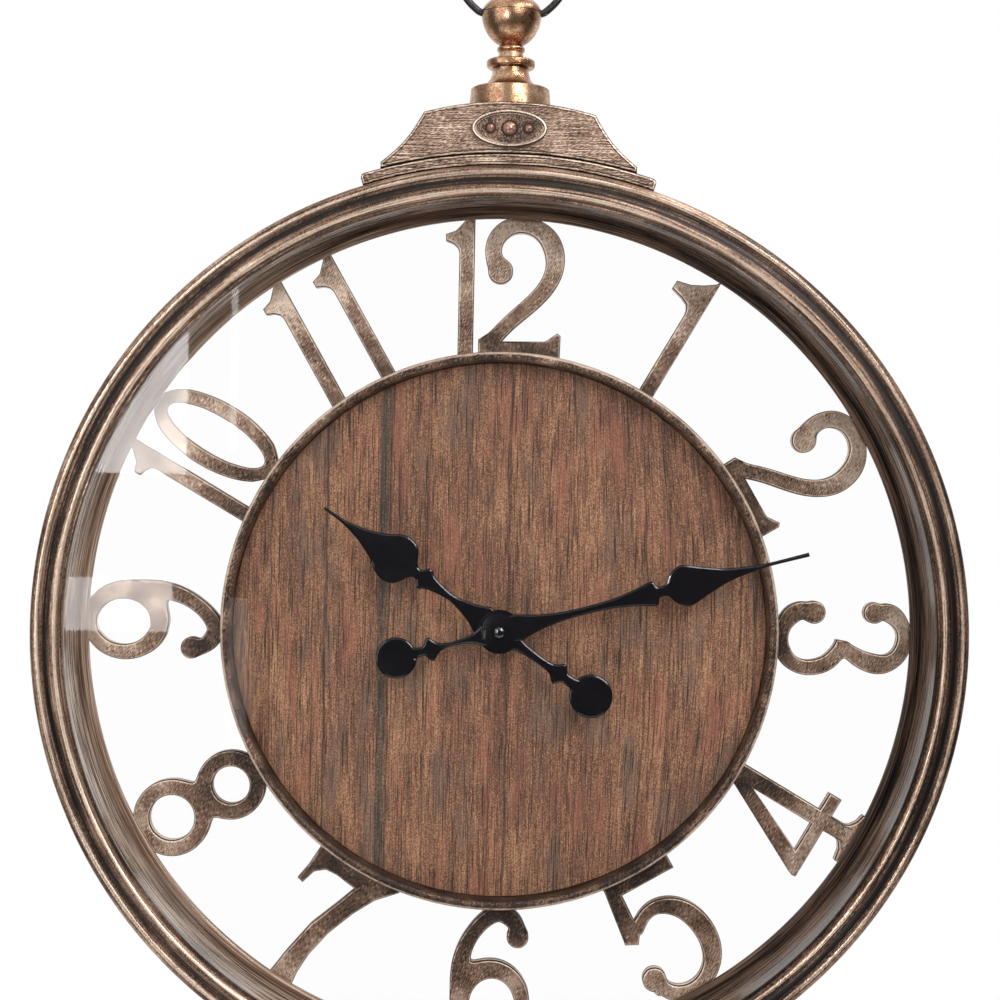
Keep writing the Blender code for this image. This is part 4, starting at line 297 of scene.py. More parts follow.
@dataclass(frozen=True)
class Bronze(Finish):
    """Dark brown paint with coppery and pale dry-brushed streaks.

    The streaks are about `length` long and `width` wide, and run as `run` says. Short hatch strokes cross them at
    one slant, and the paint is paler in some places than in others. `tones` are the covers at which dark starts to
    turn to copper, is copper and is pale. `rings` are circles round the dial and `edges` are lines along the eased
    edges, each with its place, where its fade starts and ends, and the pale paint that it adds. Both are painted
    light: pale lines stand in for highlights on crests and edges, and dark lines, whose pale paint is negative,
    stand in for shade in grooves and at the very edges.
    """

    run: Run
    length: float = 0.012
    width: float = 0.0008
    hatch_length: float = 0.0024
    hatch_width: float = 0.0004
    slant: float = 58.0
    streaks: float = 0.7
    hatching: float = 1.6
    clouds: float = 0.9
    patch: float = 0.016
    dark: Colour = (0.012, 0.006, 0.004)
    copper: Colour = (0.215, 0.118, 0.072)
    pale: Colour = (0.78, 0.62, 0.49)
    tones: Triple = (0.22, 0.54, 1.0)
    cover: float = 0.0
    roughness: float = 0.38
    metallic: float = 0.35
    rings: tuple[Line, ...] = ()
    edges: tuple[Line, ...] = ()
    relief: float = 0.00012

    def grain(self, graph: Graph, length: float, width: float) -> list[Number]:
        """Coordinates in which one streak has the size one.

        Args:
            graph: Nodes of the material.
            length: Length of a streak.
            width: Its width.

        Returns:
            The three coordinates.
        """
        x, y, z = graph.place()
        if self.run is Run.ROUND_DIAL:
            across, up, radius = graph.round_dial()
            reach = STREAK_RADIUS / length
            return [across * reach, (radius - y) * (1 / width), up * reach]
        thin = length if self.run is Run.SPECKLED else width
        return [x * (1 / length), y * (1 / thin), z * (1 / thin)]

    def hatch(self, graph: Graph) -> list[Number]:
        """Coordinates in which one hatch stroke has the size one.

        Args:
            graph: Nodes of the material.

        Returns:
            The three coordinates.
        """
        x, y, z = graph.place()
        rise, run = math.sin(math.radians(self.slant)), math.cos(math.radians(self.slant))
        long, thin = 1 / self.hatch_length, 1 / self.hatch_width
        return [x * (run * long) + z * (rise * long), x * (-rise * thin) + z * (run * thin), y * thin]

    def wear_and_painted_light(self, graph: Graph, cover: Number) -> Number:
        """Pale paint, from the streaks and what the piece adds to them, painted light and shade included."""
        return cover

    def paint(self, graph: Graph) -> None:
        """Sets up the shader.

        Args:
            graph: Nodes of the new material.
        """
        streak = graph.noise(self.grain(graph, self.length, self.width), 1.0, 3.0, 0.65)
        hatch = graph.noise(self.hatch(graph), 1.0, 2.0)
        cloud = graph.noise(graph.place(), 1 / self.patch, 1.5, 0.5)
        even = (self.streaks + self.hatching + self.clouds) / 2
        cover = streak * self.streaks + hatch * self.hatching + cloud * self.clouds + (self.cover + 0.5 - even)
        cover = self.wear_and_painted_light(graph, cover)
        # Painted light: pale lines round the dial and along the eased edges as highlights, dark ones as shade.
        for row in self.rings:
            cover += graph.ridge(graph.round_dial()[2], *row)
        for row in self.edges:
            cover += graph.ridge(graph.number("ShaderNodeAttribute", {}, "Fac", attribute_name="rim"), *row)
        low, middle, high = self.tones
        base = graph.mix(graph.band(cover, low, middle), self.dark, self.copper)
        graph.set(Base_Color=graph.mix(graph.band(cover, middle, high), base, self.pale), Metallic=self.metallic)
        graph.set(Roughness=graph.band(cover, 0.2, 0.9, self.roughness + 0.14, self.roughness - 0.06))
        graph.bump(cover, self.relief)


@dataclass(frozen=True)
class RingBronze(Bronze):
    """Bronze of the case ring."""

    def wear_and_painted_light(self, graph: Graph, cover: Number) -> Number:
        """Less pale paint low on the right: painted shade on that side."""
        x, _, z = graph.place()
        return cover + graph.band((z - CENTRE_Z) * -0.5 + x, -0.1, 0.24, 0.03, -0.13)


@dataclass(frozen=True)
class DialBronze(Bronze):
    """Bronze of the dial, drawn out in streaks on its flange."""

    inner: float = 0.158
    outer: float = 0.229
    flange: float = 0.2322
    drawn: Point = (0.05, 0.0007)

    def wear_and_painted_light(self, graph: Graph, cover: Number) -> Number:
        """Paler towards the rim of the dial and its top; long streaks on the flange, paler on its left as a
        painted reflection.

        Args:
            graph: Nodes of the material.
            cover: Pale paint from the streaks.

        Returns:
            The pale paint.
        """
        x, _, z = graph.place()
        radius = graph.round_dial()[2]
        cover += graph.band(radius, self.inner, self.outer, -0.22, 0.2)
        cover += graph.band(z, CENTRE_Z - 0.22, CENTRE_Z + 0.16, -0.06, 0.06)
        # The flange is paler on the left: a painted reflection of a veil in the glass.
        drawn = graph.noise(self.grain(graph, *self.drawn), 1.0) * 1.6 + graph.band(x, -0.2, 0.1, -0.1, -0.5)
        return cover + (drawn - cover) * graph.band(radius, self.outer, self.flange)


@dataclass(frozen=True)
class MedallionBronze(Bronze):
    """Bronze of the medallion."""

    def wear_and_painted_light(self, graph: Graph, cover: Number) -> Number:
        """Painted shade: dark rings round the beads, where they sit on the field.

        Args:
            graph: Nodes of the material.
            cover: Pale paint from the streaks.

        Returns:
            The pale paint.
        """
        x, _, z = graph.place()
        for across, radius in MEDALLION_BEADS:
            away = graph.reach(x - across, z - (CENTRE_Z + MEDALLION_HEIGHT))
            cover -= graph.band(away, radius + 0.0003, radius + 0.0012, 0.6, 0.0)
        return cover


@dataclass(frozen=True)
class WoodPrint(Finish):
    """Brown wood print with upright grain, pores and dark seams between its planks.

    Each seam has its place, half its width and how dark it is. The stripe has its place, and where its fade starts
    and ends. The seams wander to either side, and on the right the grain leans.
    """

    middle: Colour = (0.255, 0.118, 0.066)
    deep: Colour = (0.09, 0.045, 0.03)
    warm: Colour = (0.5, 0.28, 0.15)
    red: Colour = (0.3, 0.105, 0.07)
    grey: Colour = (0.12, 0.088, 0.07)
    plank: Colour = (0.05, 0.045, 0.035)
    black: Colour = (0.026, 0.017, 0.013)
    seams: tuple[Triple, ...] = (
        (-0.129, 0.0003, 0.7), (-0.105, 0.0003, 0.6), (-0.098, 0.0004, 0.95), (-0.0625, 0.0004, 0.95),
        (-0.042, 0.0002, 0.6), (-0.005, 0.0002, 0.6), (0.0045, 0.0005, 0.9), (0.04, 0.0002, 0.6),
        (0.079, 0.0003, 0.8), (0.092, 0.0003, 0.7), (0.1287, 0.0003, 0.8), (0.137, 0.0006, 0.8),
    )
    seam_fade: float = 0.0006
    stripe: Triple = (-0.066, 0.0016, 0.0036)
    lean: float = 0.7
    wander: float = 0.005
    relief: float = 0.00015

    def paint(self, graph: Graph) -> None:
        """Sets up the shader.

        Args:
            graph: Nodes of the new material.
        """
        x, y, z = graph.place()
        up = z - CENTRE_Z
        leaning = (up * up - 0.01) * graph.band(x, 0.02, 0.14, 0.0, self.lean) + x

        def upright(share: float, scale: float, detail: float = 3.0, roughness: float = 0.6) -> Number:
            """Noise drawn out upright."""
            return graph.noise((leaning, y, z * share), scale, detail, roughness)

        fine = upright(0.04, 1200.0, 3.0, 0.75)
        pores = upright(0.022, 1700.0, 2.0, 0.5)
        tint = upright(0.25, 75.0)
        tone = fine * 0.55 + upright(0.08, 160.0, 4.0) * 0.3 + upright(0.8, 1500.0, 2.0, 0.7) * 0.75
        tone += upright(0.45, 26.0) * 0.2
        colour = graph.mix(graph.band(tone, 0.78, 0.97), self.deep, self.middle)
        colour = graph.mix(graph.band(tone, 0.9, 1.12, 0.0, 0.9), colour, self.warm)
        colour = graph.mix(graph.band(tint, 0.52, 0.66, 0.0, 0.5), colour, self.grey)
        colour = graph.mix(graph.band(tint, 0.34, 0.46, 0.4, 0.0), colour, self.red)
        dark = graph.band(pores, 0.37, 0.43, 0.9, 0.0)
        wear_and_painted_reflection = graph.band(fine, 0.3, 0.55, 1.0, 0.6)
        across = leaning + graph.noise((0.0, 0.0, z), 22.0, 2.0) * self.wander - self.wander / 2
        for place, half_width, strength in self.seams:
            seam = graph.ridge(across, place, half_width, half_width + self.seam_fade, strength)
            dark = graph.math("MAXIMUM", dark, seam * wear_and_painted_reflection)
        plank = graph.ridge(across, *self.stripe, 1.0) * graph.band(tone, 0.85, 1.08, 1.0, 0.5)
        colour = graph.mix(plank, colour, self.plank)
        graph.set(Base_Color=graph.mix(dark, colour, self.black), Roughness=0.6, Specular_IOR_Level=0.25)
        graph.bump(tone - dark, self.relief)


@dataclass(frozen=True)
class GlossPaint(Finish):
    """Glossy dark paint with a faint sheen of its own."""

    colour: Colour = (0.002, 0.0016, 0.002)
    sheen: Colour = (0.004, 0.003, 0.005)
    roughness: float = 0.14
    specular: float = 0.25
    coat: float = 0.8
    coat_roughness: float = 0.06

    def paint(self, graph: Graph) -> None:
        """Sets up the shader.

        Args:
            graph: Nodes of the new material.
        """
        cloud = graph.noise(graph.place(), 60.0)
        graph.set(Base_Color=graph.mix(cloud, self.colour, self.sheen), Specular_IOR_Level=self.specular)
        graph.set(Coat_Weight=self.coat, Coat_Roughness=self.coat_roughness)
        graph.set(Roughness=graph.band(cloud, 0.2, 0.8, self.roughness, self.roughness + 0.08))
        graph.bump(graph.noise(graph.place(), 700.0, 1.0), 0.00002, 0.3)


@dataclass(frozen=True)
class SleevePaint(Finish):
    """Brown gloss paint of the inner sleeve, drawn out in long streaks round it.

    The streaks are scaled round the sleeve and along its depth. Towards the left the brown turns paler, which is a
    painted reflection.
    """

    dark: Colour = (0.03, 0.02, 0.015)
    brown: Colour = (0.34, 0.22, 0.155)
    # Pale colour of the painted reflection on the left.
    wear_and_painted_reflection: Colour = (0.82, 0.64, 0.52)
    scales: Point = (5.0, 420.0)

    def paint(self, graph: Graph) -> None:
        """Sets up the shader.

        Args:
            graph: Nodes of the new material.
        """
        across, up, _ = graph.round_dial()
        x, y, _ = graph.place()
        around, deep = self.scales
        streak = graph.noise((across * around, y * deep, up * around), 1.0, 4.0, 0.65)
        # Paler on the left: painted reflection.
        brown = graph.mix(graph.band(x, -0.2, 0.1, 1.0, 0.0), self.brown, self.wear_and_painted_reflection)
        graph.set(Base_Color=graph.mix(graph.band(streak, 0.38, 0.66), self.dark, brown), Specular_IOR_Level=0.5)
        graph.set(Roughness=graph.band(streak, 0.3, 0.7, 0.2, 0.34))
        graph.bump(streak, 0.00008, 0.4)


@dataclass(frozen=True)
class LensGlass(Finish):
    """Clear flat glass: nothing but a thin mirror on each face, a little stronger where it is smeared."""

    mirror: float = 0.25
    smeared: float = 1.15
    index: float = 1.5
    tint: Colour = (0.96, 0.97, 1.0)
    roughness: float = 0.015

    def paint(self, graph: Graph) -> None:
        """Sets up the shader.

        Args:
            graph: Nodes of the new material.
        """
        x, y, z = graph.place()
        smear = graph.noise((x * 0.5 + z, y, z), 16.0, 2.0)
        gloss = graph.number("ShaderNodeFresnel", {"IOR": self.index})
        share = gloss * graph.band(smear, 0.3, 0.7, self.mirror, self.mirror * self.smeared)
        graph.set(Base_Color=self.tint, Metallic=1.0, Roughness=self.roughness, Alpha=share)


RING_BRONZE = RingBronze(
    Run.ROUND_DIAL, 0.05, 0.0007, streaks=1.7, hatching=1.3, clouds=0.3, cover=-0.06, roughness=0.3, metallic=0.5,
    rings=(
        # Painted highlights along both bead crests; painted shade in the groove between the beads and at the lip.
        (0.25, 0.00052, 0.0013, 0.4), (0.2388, 0.00052, 0.0013, 0.42),
        (0.2447, 0.00144, 0.0036, -0.34), (0.2352, 0.00048, 0.0012, -0.2),
    ),
)
DIAL_BRONZE = DialBronze(
    Run.ROUND_DIAL, 0.005, 0.0006, streaks=0.4, hatching=1.9, clouds=0.8, cover=0.02,
    # Painted highlight along the crest of the inner ring; along the eased edges of the numbers, a pale line as
    # painted highlight and a dark line at the very edge as painted shade.
    rings=((0.1548, 0.0003, 0.001, 0.6),), edges=((0.6, 0.04, 0.2, 0.45), (1.0, 0.12, 0.24, -0.9)),
)
CROWN_BRONZE = Bronze(
    Run.SIDEWAYS, 0.022, 0.0006, slant=15.0, streaks=2.1, hatching=1.9, clouds=0.5, cover=0.05,
    # Along the eased edges: a pale line as painted highlight, painted shade inside it, and a dark line of painted
    # shade at the very edge.
    edges=((0.6, 0.05, 0.22, 0.3), (0.25, 0.0, 0.2, -0.45), (1.0, 0.08, 0.2, -0.9)),
)
KNOB_BRONZE = Bronze(
    Run.SPECKLED, 0.004, 0.004, 0.0009, 0.0009, dark=(0.045, 0.022, 0.012), copper=(0.42, 0.225, 0.125),
    pale=(0.85, 0.62, 0.44), cover=0.05, roughness=0.24, metallic=0.95, hatching=1.0,
)
WIRE_BRONZE = Bronze(
    Run.SPECKLED, 0.003, 0.003, 0.0008, 0.0008, dark=(0.008, 0.006, 0.006), copper=(0.03, 0.022, 0.018),
    cover=-0.25, roughness=0.25, metallic=0.2,
)
MEDALLION_BRONZE = MedallionBronze(
    Run.SPECKLED, 0.0014, 0.0014, 0.0006, 0.0006, cover=-0.1,
    # A pale line on the rim's crest as painted highlight; dark lines at the outer edge and at the foot of the sunk
    # field as painted shade.
    edges=((0.4, 0.08, 0.25, 0.55), (1.0, 0.15, 0.4, -0.5)),
)
BEAD_BRONZE = Bronze(
    Run.SPECKLED, 0.003, 0.003, 0.001, 0.001, dark=(0.16, 0.075, 0.05), copper=(0.3, 0.15, 0.1),
    pale=(0.72, 0.46, 0.36), cover=0.1, roughness=0.22, metallic=0.6,
)
STEEL = Plain((0.55, 0.55, 0.56), 0.34, 1.0)
BLACK_GLOSS = GlossPaint()
BROWN_GLOSS = SleevePaint()
NUT_GLOSS = GlossPaint(roughness=0.04, specular=1.0)
BLACK_PLASTIC = Plain((0.018, 0.018, 0.019), 0.5)
WHITE_PLASTIC = Plain((0.7, 0.69, 0.64), 0.45)
BRASS = Plain((0.7, 0.48, 0.18), 0.3, 1.0)
COPPER = Plain((0.72, 0.3, 0.14), 0.35, 1.0)
BOARD = Plain((0.02, 0.17, 0.06), 0.4)
RUBBER = Plain((0.022, 0.022, 0.022), 0.8)
MAGNET = Plain((0.12, 0.12, 0.13), 0.45, 0.6)
NODE_FINISHES = (
    (STEEL, [f"dial_screw_{number}" for number in range(1, 6)]),
    (STEEL, ["hanger_plate", "hanger_screw_left", "hanger_screw_right", "crown_screw_left", "crown_screw_right"]),
    (STEEL, ["crown_rod", "washer", "stator", "contact_plus", "contact_minus"]),
    (BLACK_PLASTIC, ["movement_case", "rear_cover"]),
    (WHITE_PLASTIC, ["setting_knob", "motion_wheel", "hour_wheel", "third_wheel", "intermediate_wheel"]),
    (BRASS, ["fixing_nut", "centre_wheel"]),
    (MAGNET, ["rotor"]), (COPPER, ["coil"]), (BOARD, ["circuit_board"]), (RUBBER, ["rubber_gasket"]),
    (BLACK_GLOSS, ["battery"]),
)


# Outlines


def polar(radius: float, degrees: float, across: float = 0.0, up: float = 0.0) -> Point:
    """Point (across, up) at a clock angle round a centre."""
    angle = math.radians(degrees)
    return across + radius * math.sin(angle), up + radius * math.cos(angle)


def shares(steps: int) -> list[float]:
    """Even shares of a way, up to the whole."""
    return [step / steps for step in range(1, steps + 1)]


def arc(radius: float, start: float, end: float, steps: int, across: float = 0.0, up: float = 0.0) -> Loop:
    """Points of an arc between two clock angles, both ends included."""
    return [polar(radius, start + (end - start) * i / steps, across, up) for i in range(steps + 1)]


def ellipse(across: float, up: float, half_width: float, half_height: float) -> Loop:
    """Points of an ellipse."""
    return [(across + half_width * x, up + half_height * z) for x, z in arc(1, 0, 360, PIECE_STEPS)[:-1]]


def smooth_line(points: Sequence[Sequence[float]], steps: int = CURVE_STEPS) -> list[tuple[float, ...]]:
    """Smooth line through points; each span's handles follow the neighbours.

    Args:
        points: Points of two or three values.
        steps: Steps of each span.

    Returns:
        Points of the line, both ends included.
    """
    points = [Vector(point) for point in points]
    line = []
    for i in range(len(points) - 1):
        before, here, after = points[max(i - 1, 0)], points[i], points[i + 1]
        beyond = points[min(i + 2, len(points) - 1)]
        leave, arrive = here + (after - before) / 6, after - (beyond - here) / 6
        line += [tuple(point) for point in interpolate_bezier(here, leave, arrive, after, steps + 1)[:-1]]
    return line + [tuple(points[-1])]


def stroke(points: Sequence[Sequence[float]]) -> Loop:
    """Closed outline of a stroke, whose width changes along it.

    Args:
        points: Centre line before it is smoothed, each point (across, up, width).

    Returns:
        The outline.
    """
    line = smooth_line(points)
    left, right = [], []
    for i, (across, up, width) in enumerate(line):
        before, after = line[max(i - 1, 0)], line[min(i + 1, len(line) - 1)]
        run = Vector((after[0] - before[0], after[1] - before[1])).normalized()
        left.append((across - run.y * width / 2, up + run.x * width / 2))
        right.append((across + run.y * width / 2, up - run.x * width / 2))
    return left + right[::-1]


def part_loops(rows: Sequence[Sequence[float]]) -> list[Loop]:
    """Edge of one part of a digit, and then its hole if it has one.

    Args:
        rows: Its rows in DIGIT_PARTS.

    Returns:
        Its loops.
    """
    rows = [[value / ROW_UNIT for value in row] for row in rows]
    if len(rows[0]) == ELLIPSE_ROW:
        return [ellipse(*row) for row in rows]
    return [stroke(rows) if len(rows[0]) == STROKE_ROW else rows]


def mirrored(side: Loop) -> Loop:
    """Left side of an outline, from the end of its right side back to the start."""
    return [(-across, up) for across, up in side[::-1]]


def signed_area(loop: Loop) -> float:
    """Area of a loop, negative where it runs the other way round."""
    return sum(a[0] * b[1] - b[0] * a[1] for a, b in zip(loop, loop[1:] + loop[:1])) / 2


def put(name: str, data: bpy.types.ID) -> bpy.types.Object:
    """Puts a new object in the scene.

    Args:
        name: Its name.
        data: Its mesh, camera or lamp.

    Returns:
        The object.
    """
    made = bpy.data.objects.new(name, data)
    bpy.context.scene.collection.objects.link(made)
    return made


class Form:
    """A mesh in the making."""

    def __init__(self) -> None:
        """Starts with an empty mesh whose points know how near they are to an edge."""
        self.shape = bmesh.new()
        self.rim = self.shape.verts.layers.float.new("rim")

    def turned(self, profile: Sequence[Point], turn: Turn = Turn.DIAL, steps: int = PIECE_STEPS) -> "Form":
        """Adds a profile turned a full circle.

        Args:
            profile: Points (radius, depth) round the dial's axis, or (radius, height) round the crown's.
            turn: The axis.
            steps: Steps of the full circle.

        Returns:
            This form.
        """
        dial = turn is Turn.DIAL
        centre = Vector((0, 0, CENTRE_Z)) if dial else Vector((0, -CROWN_DEPTH, CENTRE_Z))
        points = [
            self.shape.verts.new(centre + Vector((radius, -along, 0) if dial else (radius, 0, along)))
            for radius, along in profile
        ]
        edges = [self.shape.edges.new(pair) for pair in zip(points, points[1:])]
        if profile[0][0] > 0 or profile[-1][0] > 0:
            edges.append(self.shape.edges.new((points[-1], points[0])))
        axis = (0, 1, 0) if dial else (0, 0, 1)
        bmesh.ops.spin(
            self.shape, geom=points + edges, cent=centre, axis=axis, angle=math.tau, steps=steps, use_merge=True
        )
        bmesh.ops.remove_doubles(self.shape, verts=self.shape.verts, dist=MERGE_DISTANCE)
        return self

    def plate(
        self, parts: Sequence[Sequence[Loop]], back: float, front: float,
        steps: Sequence[Point] = (), smooth: int = 0,
    ) -> "Form":
        """Adds a flat plate between two depths, with an eased front edge.

        Args:
            parts: Overlapping parts that become one plate, each an edge and then its holes, as points from the
                centre of the dial.
            back: Depth of its back.
            front: Depth of its front.
            steps: Width and rise of each step of the eased edge, from the outside in.
            smooth: Times that the outline is smoothed where its points are close.

        Returns:
            This form.
        """
        corners, faces, owners = [], [], []
        for number, loops in enumerate(parts):
            for place, loop in enumerate(loops):
                start = len(corners)
                corners += [Vector(point) for point in (loop if signed_area(loop) > 0 else loop[::-1])]
                faces.append(list(range(start, len(corners))))
                owners.append((number, place > 0))
        points, _, pieces, _, _, origins = delaunay_2d_cdt(corners, [], faces, 1, MERGE_DISTANCE, True)
        made = {}
        base = []
        for piece, origin in zip(pieces, origins):
            edges = {owners[i][0] for i in origin if not owners[i][1]}
            holes = {owners[i][0] for i in origin if owners[i][1]}
            if edges - holes:
                for i in piece:
                    if i not in made:
                        made[i] = self.shape.verts.new((points[i].x, -back, CENTRE_Z + points[i].y))
                base.append(self.shape.faces.new([made[i] for i in piece]))
        bmesh.ops.remove_doubles(self.shape, verts=list(made.values()), dist=OUTLINE_MERGE_DISTANCE)
        base = [face for face in base if face.is_valid]
        low = {point for face in base for point in face.verts}
        border = {point: [] for point in low}
        for edge in {edge for point in low for edge in point.link_edges if len(edge.link_faces) == 1}:
            for point in edge.verts:
                border[point].append(edge.other_vert(point))
        for _ in range(smooth):
            moves = {}
            for point, ends in border.items():
                if len(ends) == 2 and all((end.co - point.co).length < SMOOTHED_GAP for end in ends):
                    moves[point] = point.co.lerp((ends[0].co + ends[1].co) / 2, 0.5)
            for point, place in moves.items():
                point.co = place
        raised = bmesh.ops.extrude_face_region(self.shape, geom=base)["geom"]
        moved = [item for item in raised if isinstance(item, bmesh.types.BMVert)]
        top = [item for item in raised if isinstance(item, bmesh.types.BMFace)]
        rise = sum(step[1] for step in steps)
        bmesh.ops.translate(self.shape, verts=moved, vec=(0, back - front + rise, 0))
        linked = {face for point in low.union(moved) for face in point.link_faces}
        bmesh.ops.recalc_face_normals(self.shape, faces=list(linked))
        near = 1.0
        for width, rise in steps:
            far = near - width / sum(step[0] for step in steps)
            self.inset(top, width, rise, near, far)
            near = far
        return self

    def inset(
        self, faces: list[bmesh.types.BMFace], width: float, rise: float, edge: float, inside: float
    ) -> None:
        """Insets a region, raises what lies inside it and marks how near its points are to the edge.

        Args:
            faces: Faces of the region, all at one depth.
            width: How far in the new edge lies.
            rise: How much further forward it lies.
            edge: Mark of the points on the old edge.
            inside: Mark of the points inside it.
        """
        for face in faces:
            for point in face.verts:
                point[self.rim] = edge
        level = faces[0].verts[0].co.y - rise
        border = bmesh.ops.inset_region(
            self.shape, faces=faces, thickness=width, depth=0.0, use_boundary=True, use_even_offset=True
        )["faces"]
        inner = {point for face in faces for point in face.verts}
        for point in inner:
            point.co.y = level
            point[self.rim] = inside
        for rung in {rung for face in border for rung in face.edges}:
            old, new = sorted(rung.verts, key=lambda point: point in inner)
            across = new.co.x - old.co.x
            up = new.co.z - old.co.z
            excess = math.hypot(across, up) / (width * MITRE_LIMIT)
            if old not in inner and new in inner and excess > 1:
                new.co.x = old.co.x + across / excess
                new.co.z = old.co.z + up / excess

    def wire(self, line: Sequence[Vector], radius: float, sides: int = 16) -> "Form":
        """Adds a round wire, closed at both ends.

        Args:
            line: Its centre line, in a plane that faces the viewer.
            radius: Its radius.
            sides: Sides of its section.

        Returns:
            This form.
        """
        rows = []
        for i, here in enumerate(line):
            run = (line[min(i + 1, len(line) - 1)] - line[max(i - 1, 0)]).normalized()
            out = run.cross(Vector((0, 1, 0))).normalized()
            rows.append((here, out))
        here, out = rows[0]
        ring = bmesh.ops.create_circle(self.shape, cap_ends=True, segments=sides, radius=radius)["verts"]
        turn = Matrix((out, (0, 1, 0), out.cross(Vector((0, 1, 0))))).transposed().to_4x4()
        bmesh.ops.transform(self.shape, matrix=Matrix.Translation(here) @ turn, verts=ring)
        cap = ring[0].link_faces[0]
        start = {point: (point.co - here).dot(out) for point in ring}
        depth = {point: (point.co - here).y for point in ring}
        for here, out in rows[1:]:
            corners = list(cap.verts)
            cap = bmesh.ops.extrude_discrete_faces(self.shape, faces=[cap])["faces"][0]
            for old, new in zip(corners, cap.verts):
                start[new], depth[new] = start[old], depth[old]
                new.co = here + out * start[new] + Vector((0, depth[new], 0))
        return self

    def rotated(self, degrees: float) -> "Form":
        """Turns the whole form clockwise round the dial's axis.

        Args:
            degrees: How far.

        Returns:
            This form.
        """
        turn = Matrix.Rotation(math.radians(degrees), 3, "Y")
        bmesh.ops.rotate(self.shape, verts=self.shape.verts, cent=(0, 0, CENTRE_Z), matrix=turn)
        return self

    def finish(
        self, name: str, look: object, slot: str, *nodes: str, body: str = "clock", sharp: float = SHARP_ANGLE
    ) -> bpy.types.Object:
        """Makes the piece, dresses it and puts it on its body.

        Args:
            name: Name of the piece.
            look: Its finish.
            slot: Material slot of the record. Not used.
            nodes: The frame's nodes that it stands for.
            body: The body that it rides on.
            sharp: Least angle of a sharp edge, in degrees.

        Returns:
            The piece's object.
        """
        bmesh.ops.recalc_face_normals(self.shape, faces=self.shape.faces)
        mesh = bpy.data.meshes.new(name)
        self.shape.to_mesh(mesh)
        self.shape.free()
        mesh.shade_smooth()
        mesh.set_sharp_from_angle(angle=math.radians(sharp))
        mesh.materials.append(look.make(name))
        piece = put(name, mesh)
        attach(piece, body)
        if nodes:
            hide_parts(*nodes)
        log.info("%s built, %d faces", name, len(mesh.polygons))
        return piece


# Shapes

# Hand outlines: place along the hand as a share of its length, half width as a share of the spade's half width
HOUR_HAND_SHARES = (
    (1.0, 0.06), (0.9, 0.08), (0.8, 0.24), (0.7, 0.56), (0.635, 0.91), (0.58, 1.0), (0.53, 0.82),
    (0.49, 0.3), (0.462, 0.23), (0.43, 0.47), (0.385, 0.28), (0.3, 0.155), (0.25, 0.17), (0.16, 0.36), (0.1, 0.6),
)
HOUR_TAIL_SHARES = ((-0.06, 0.6), (-0.12, 0.24), (-0.28, 0.18), (-0.34, 0.46), (-0.375, 0.22), (-0.43, 0.24))
MINUTE_HAND_SHARES = (
    (1.0, 0.1), (0.86, 0.09), (0.8, 0.18), (0.735, 0.34), (0.66, 0.72), (0.61, 1.0), (0.585, 0.96),
    (0.56, 0.7), (0.54, 0.3), (0.515, 0.28), (0.5, 0.6), (0.45, 0.44), (0.37, 0.24), (0.28, 0.19),
    (0.2, 0.23), (0.13, 0.38), (0.06, 0.66),
)
MINUTE_TAIL_SHARES = ((-0.04, 0.6), (-0.1, 0.18), (-0.185, 0.16), (-0.222, 0.58), (-0.245, 0.24), (-0.275, 0.28))

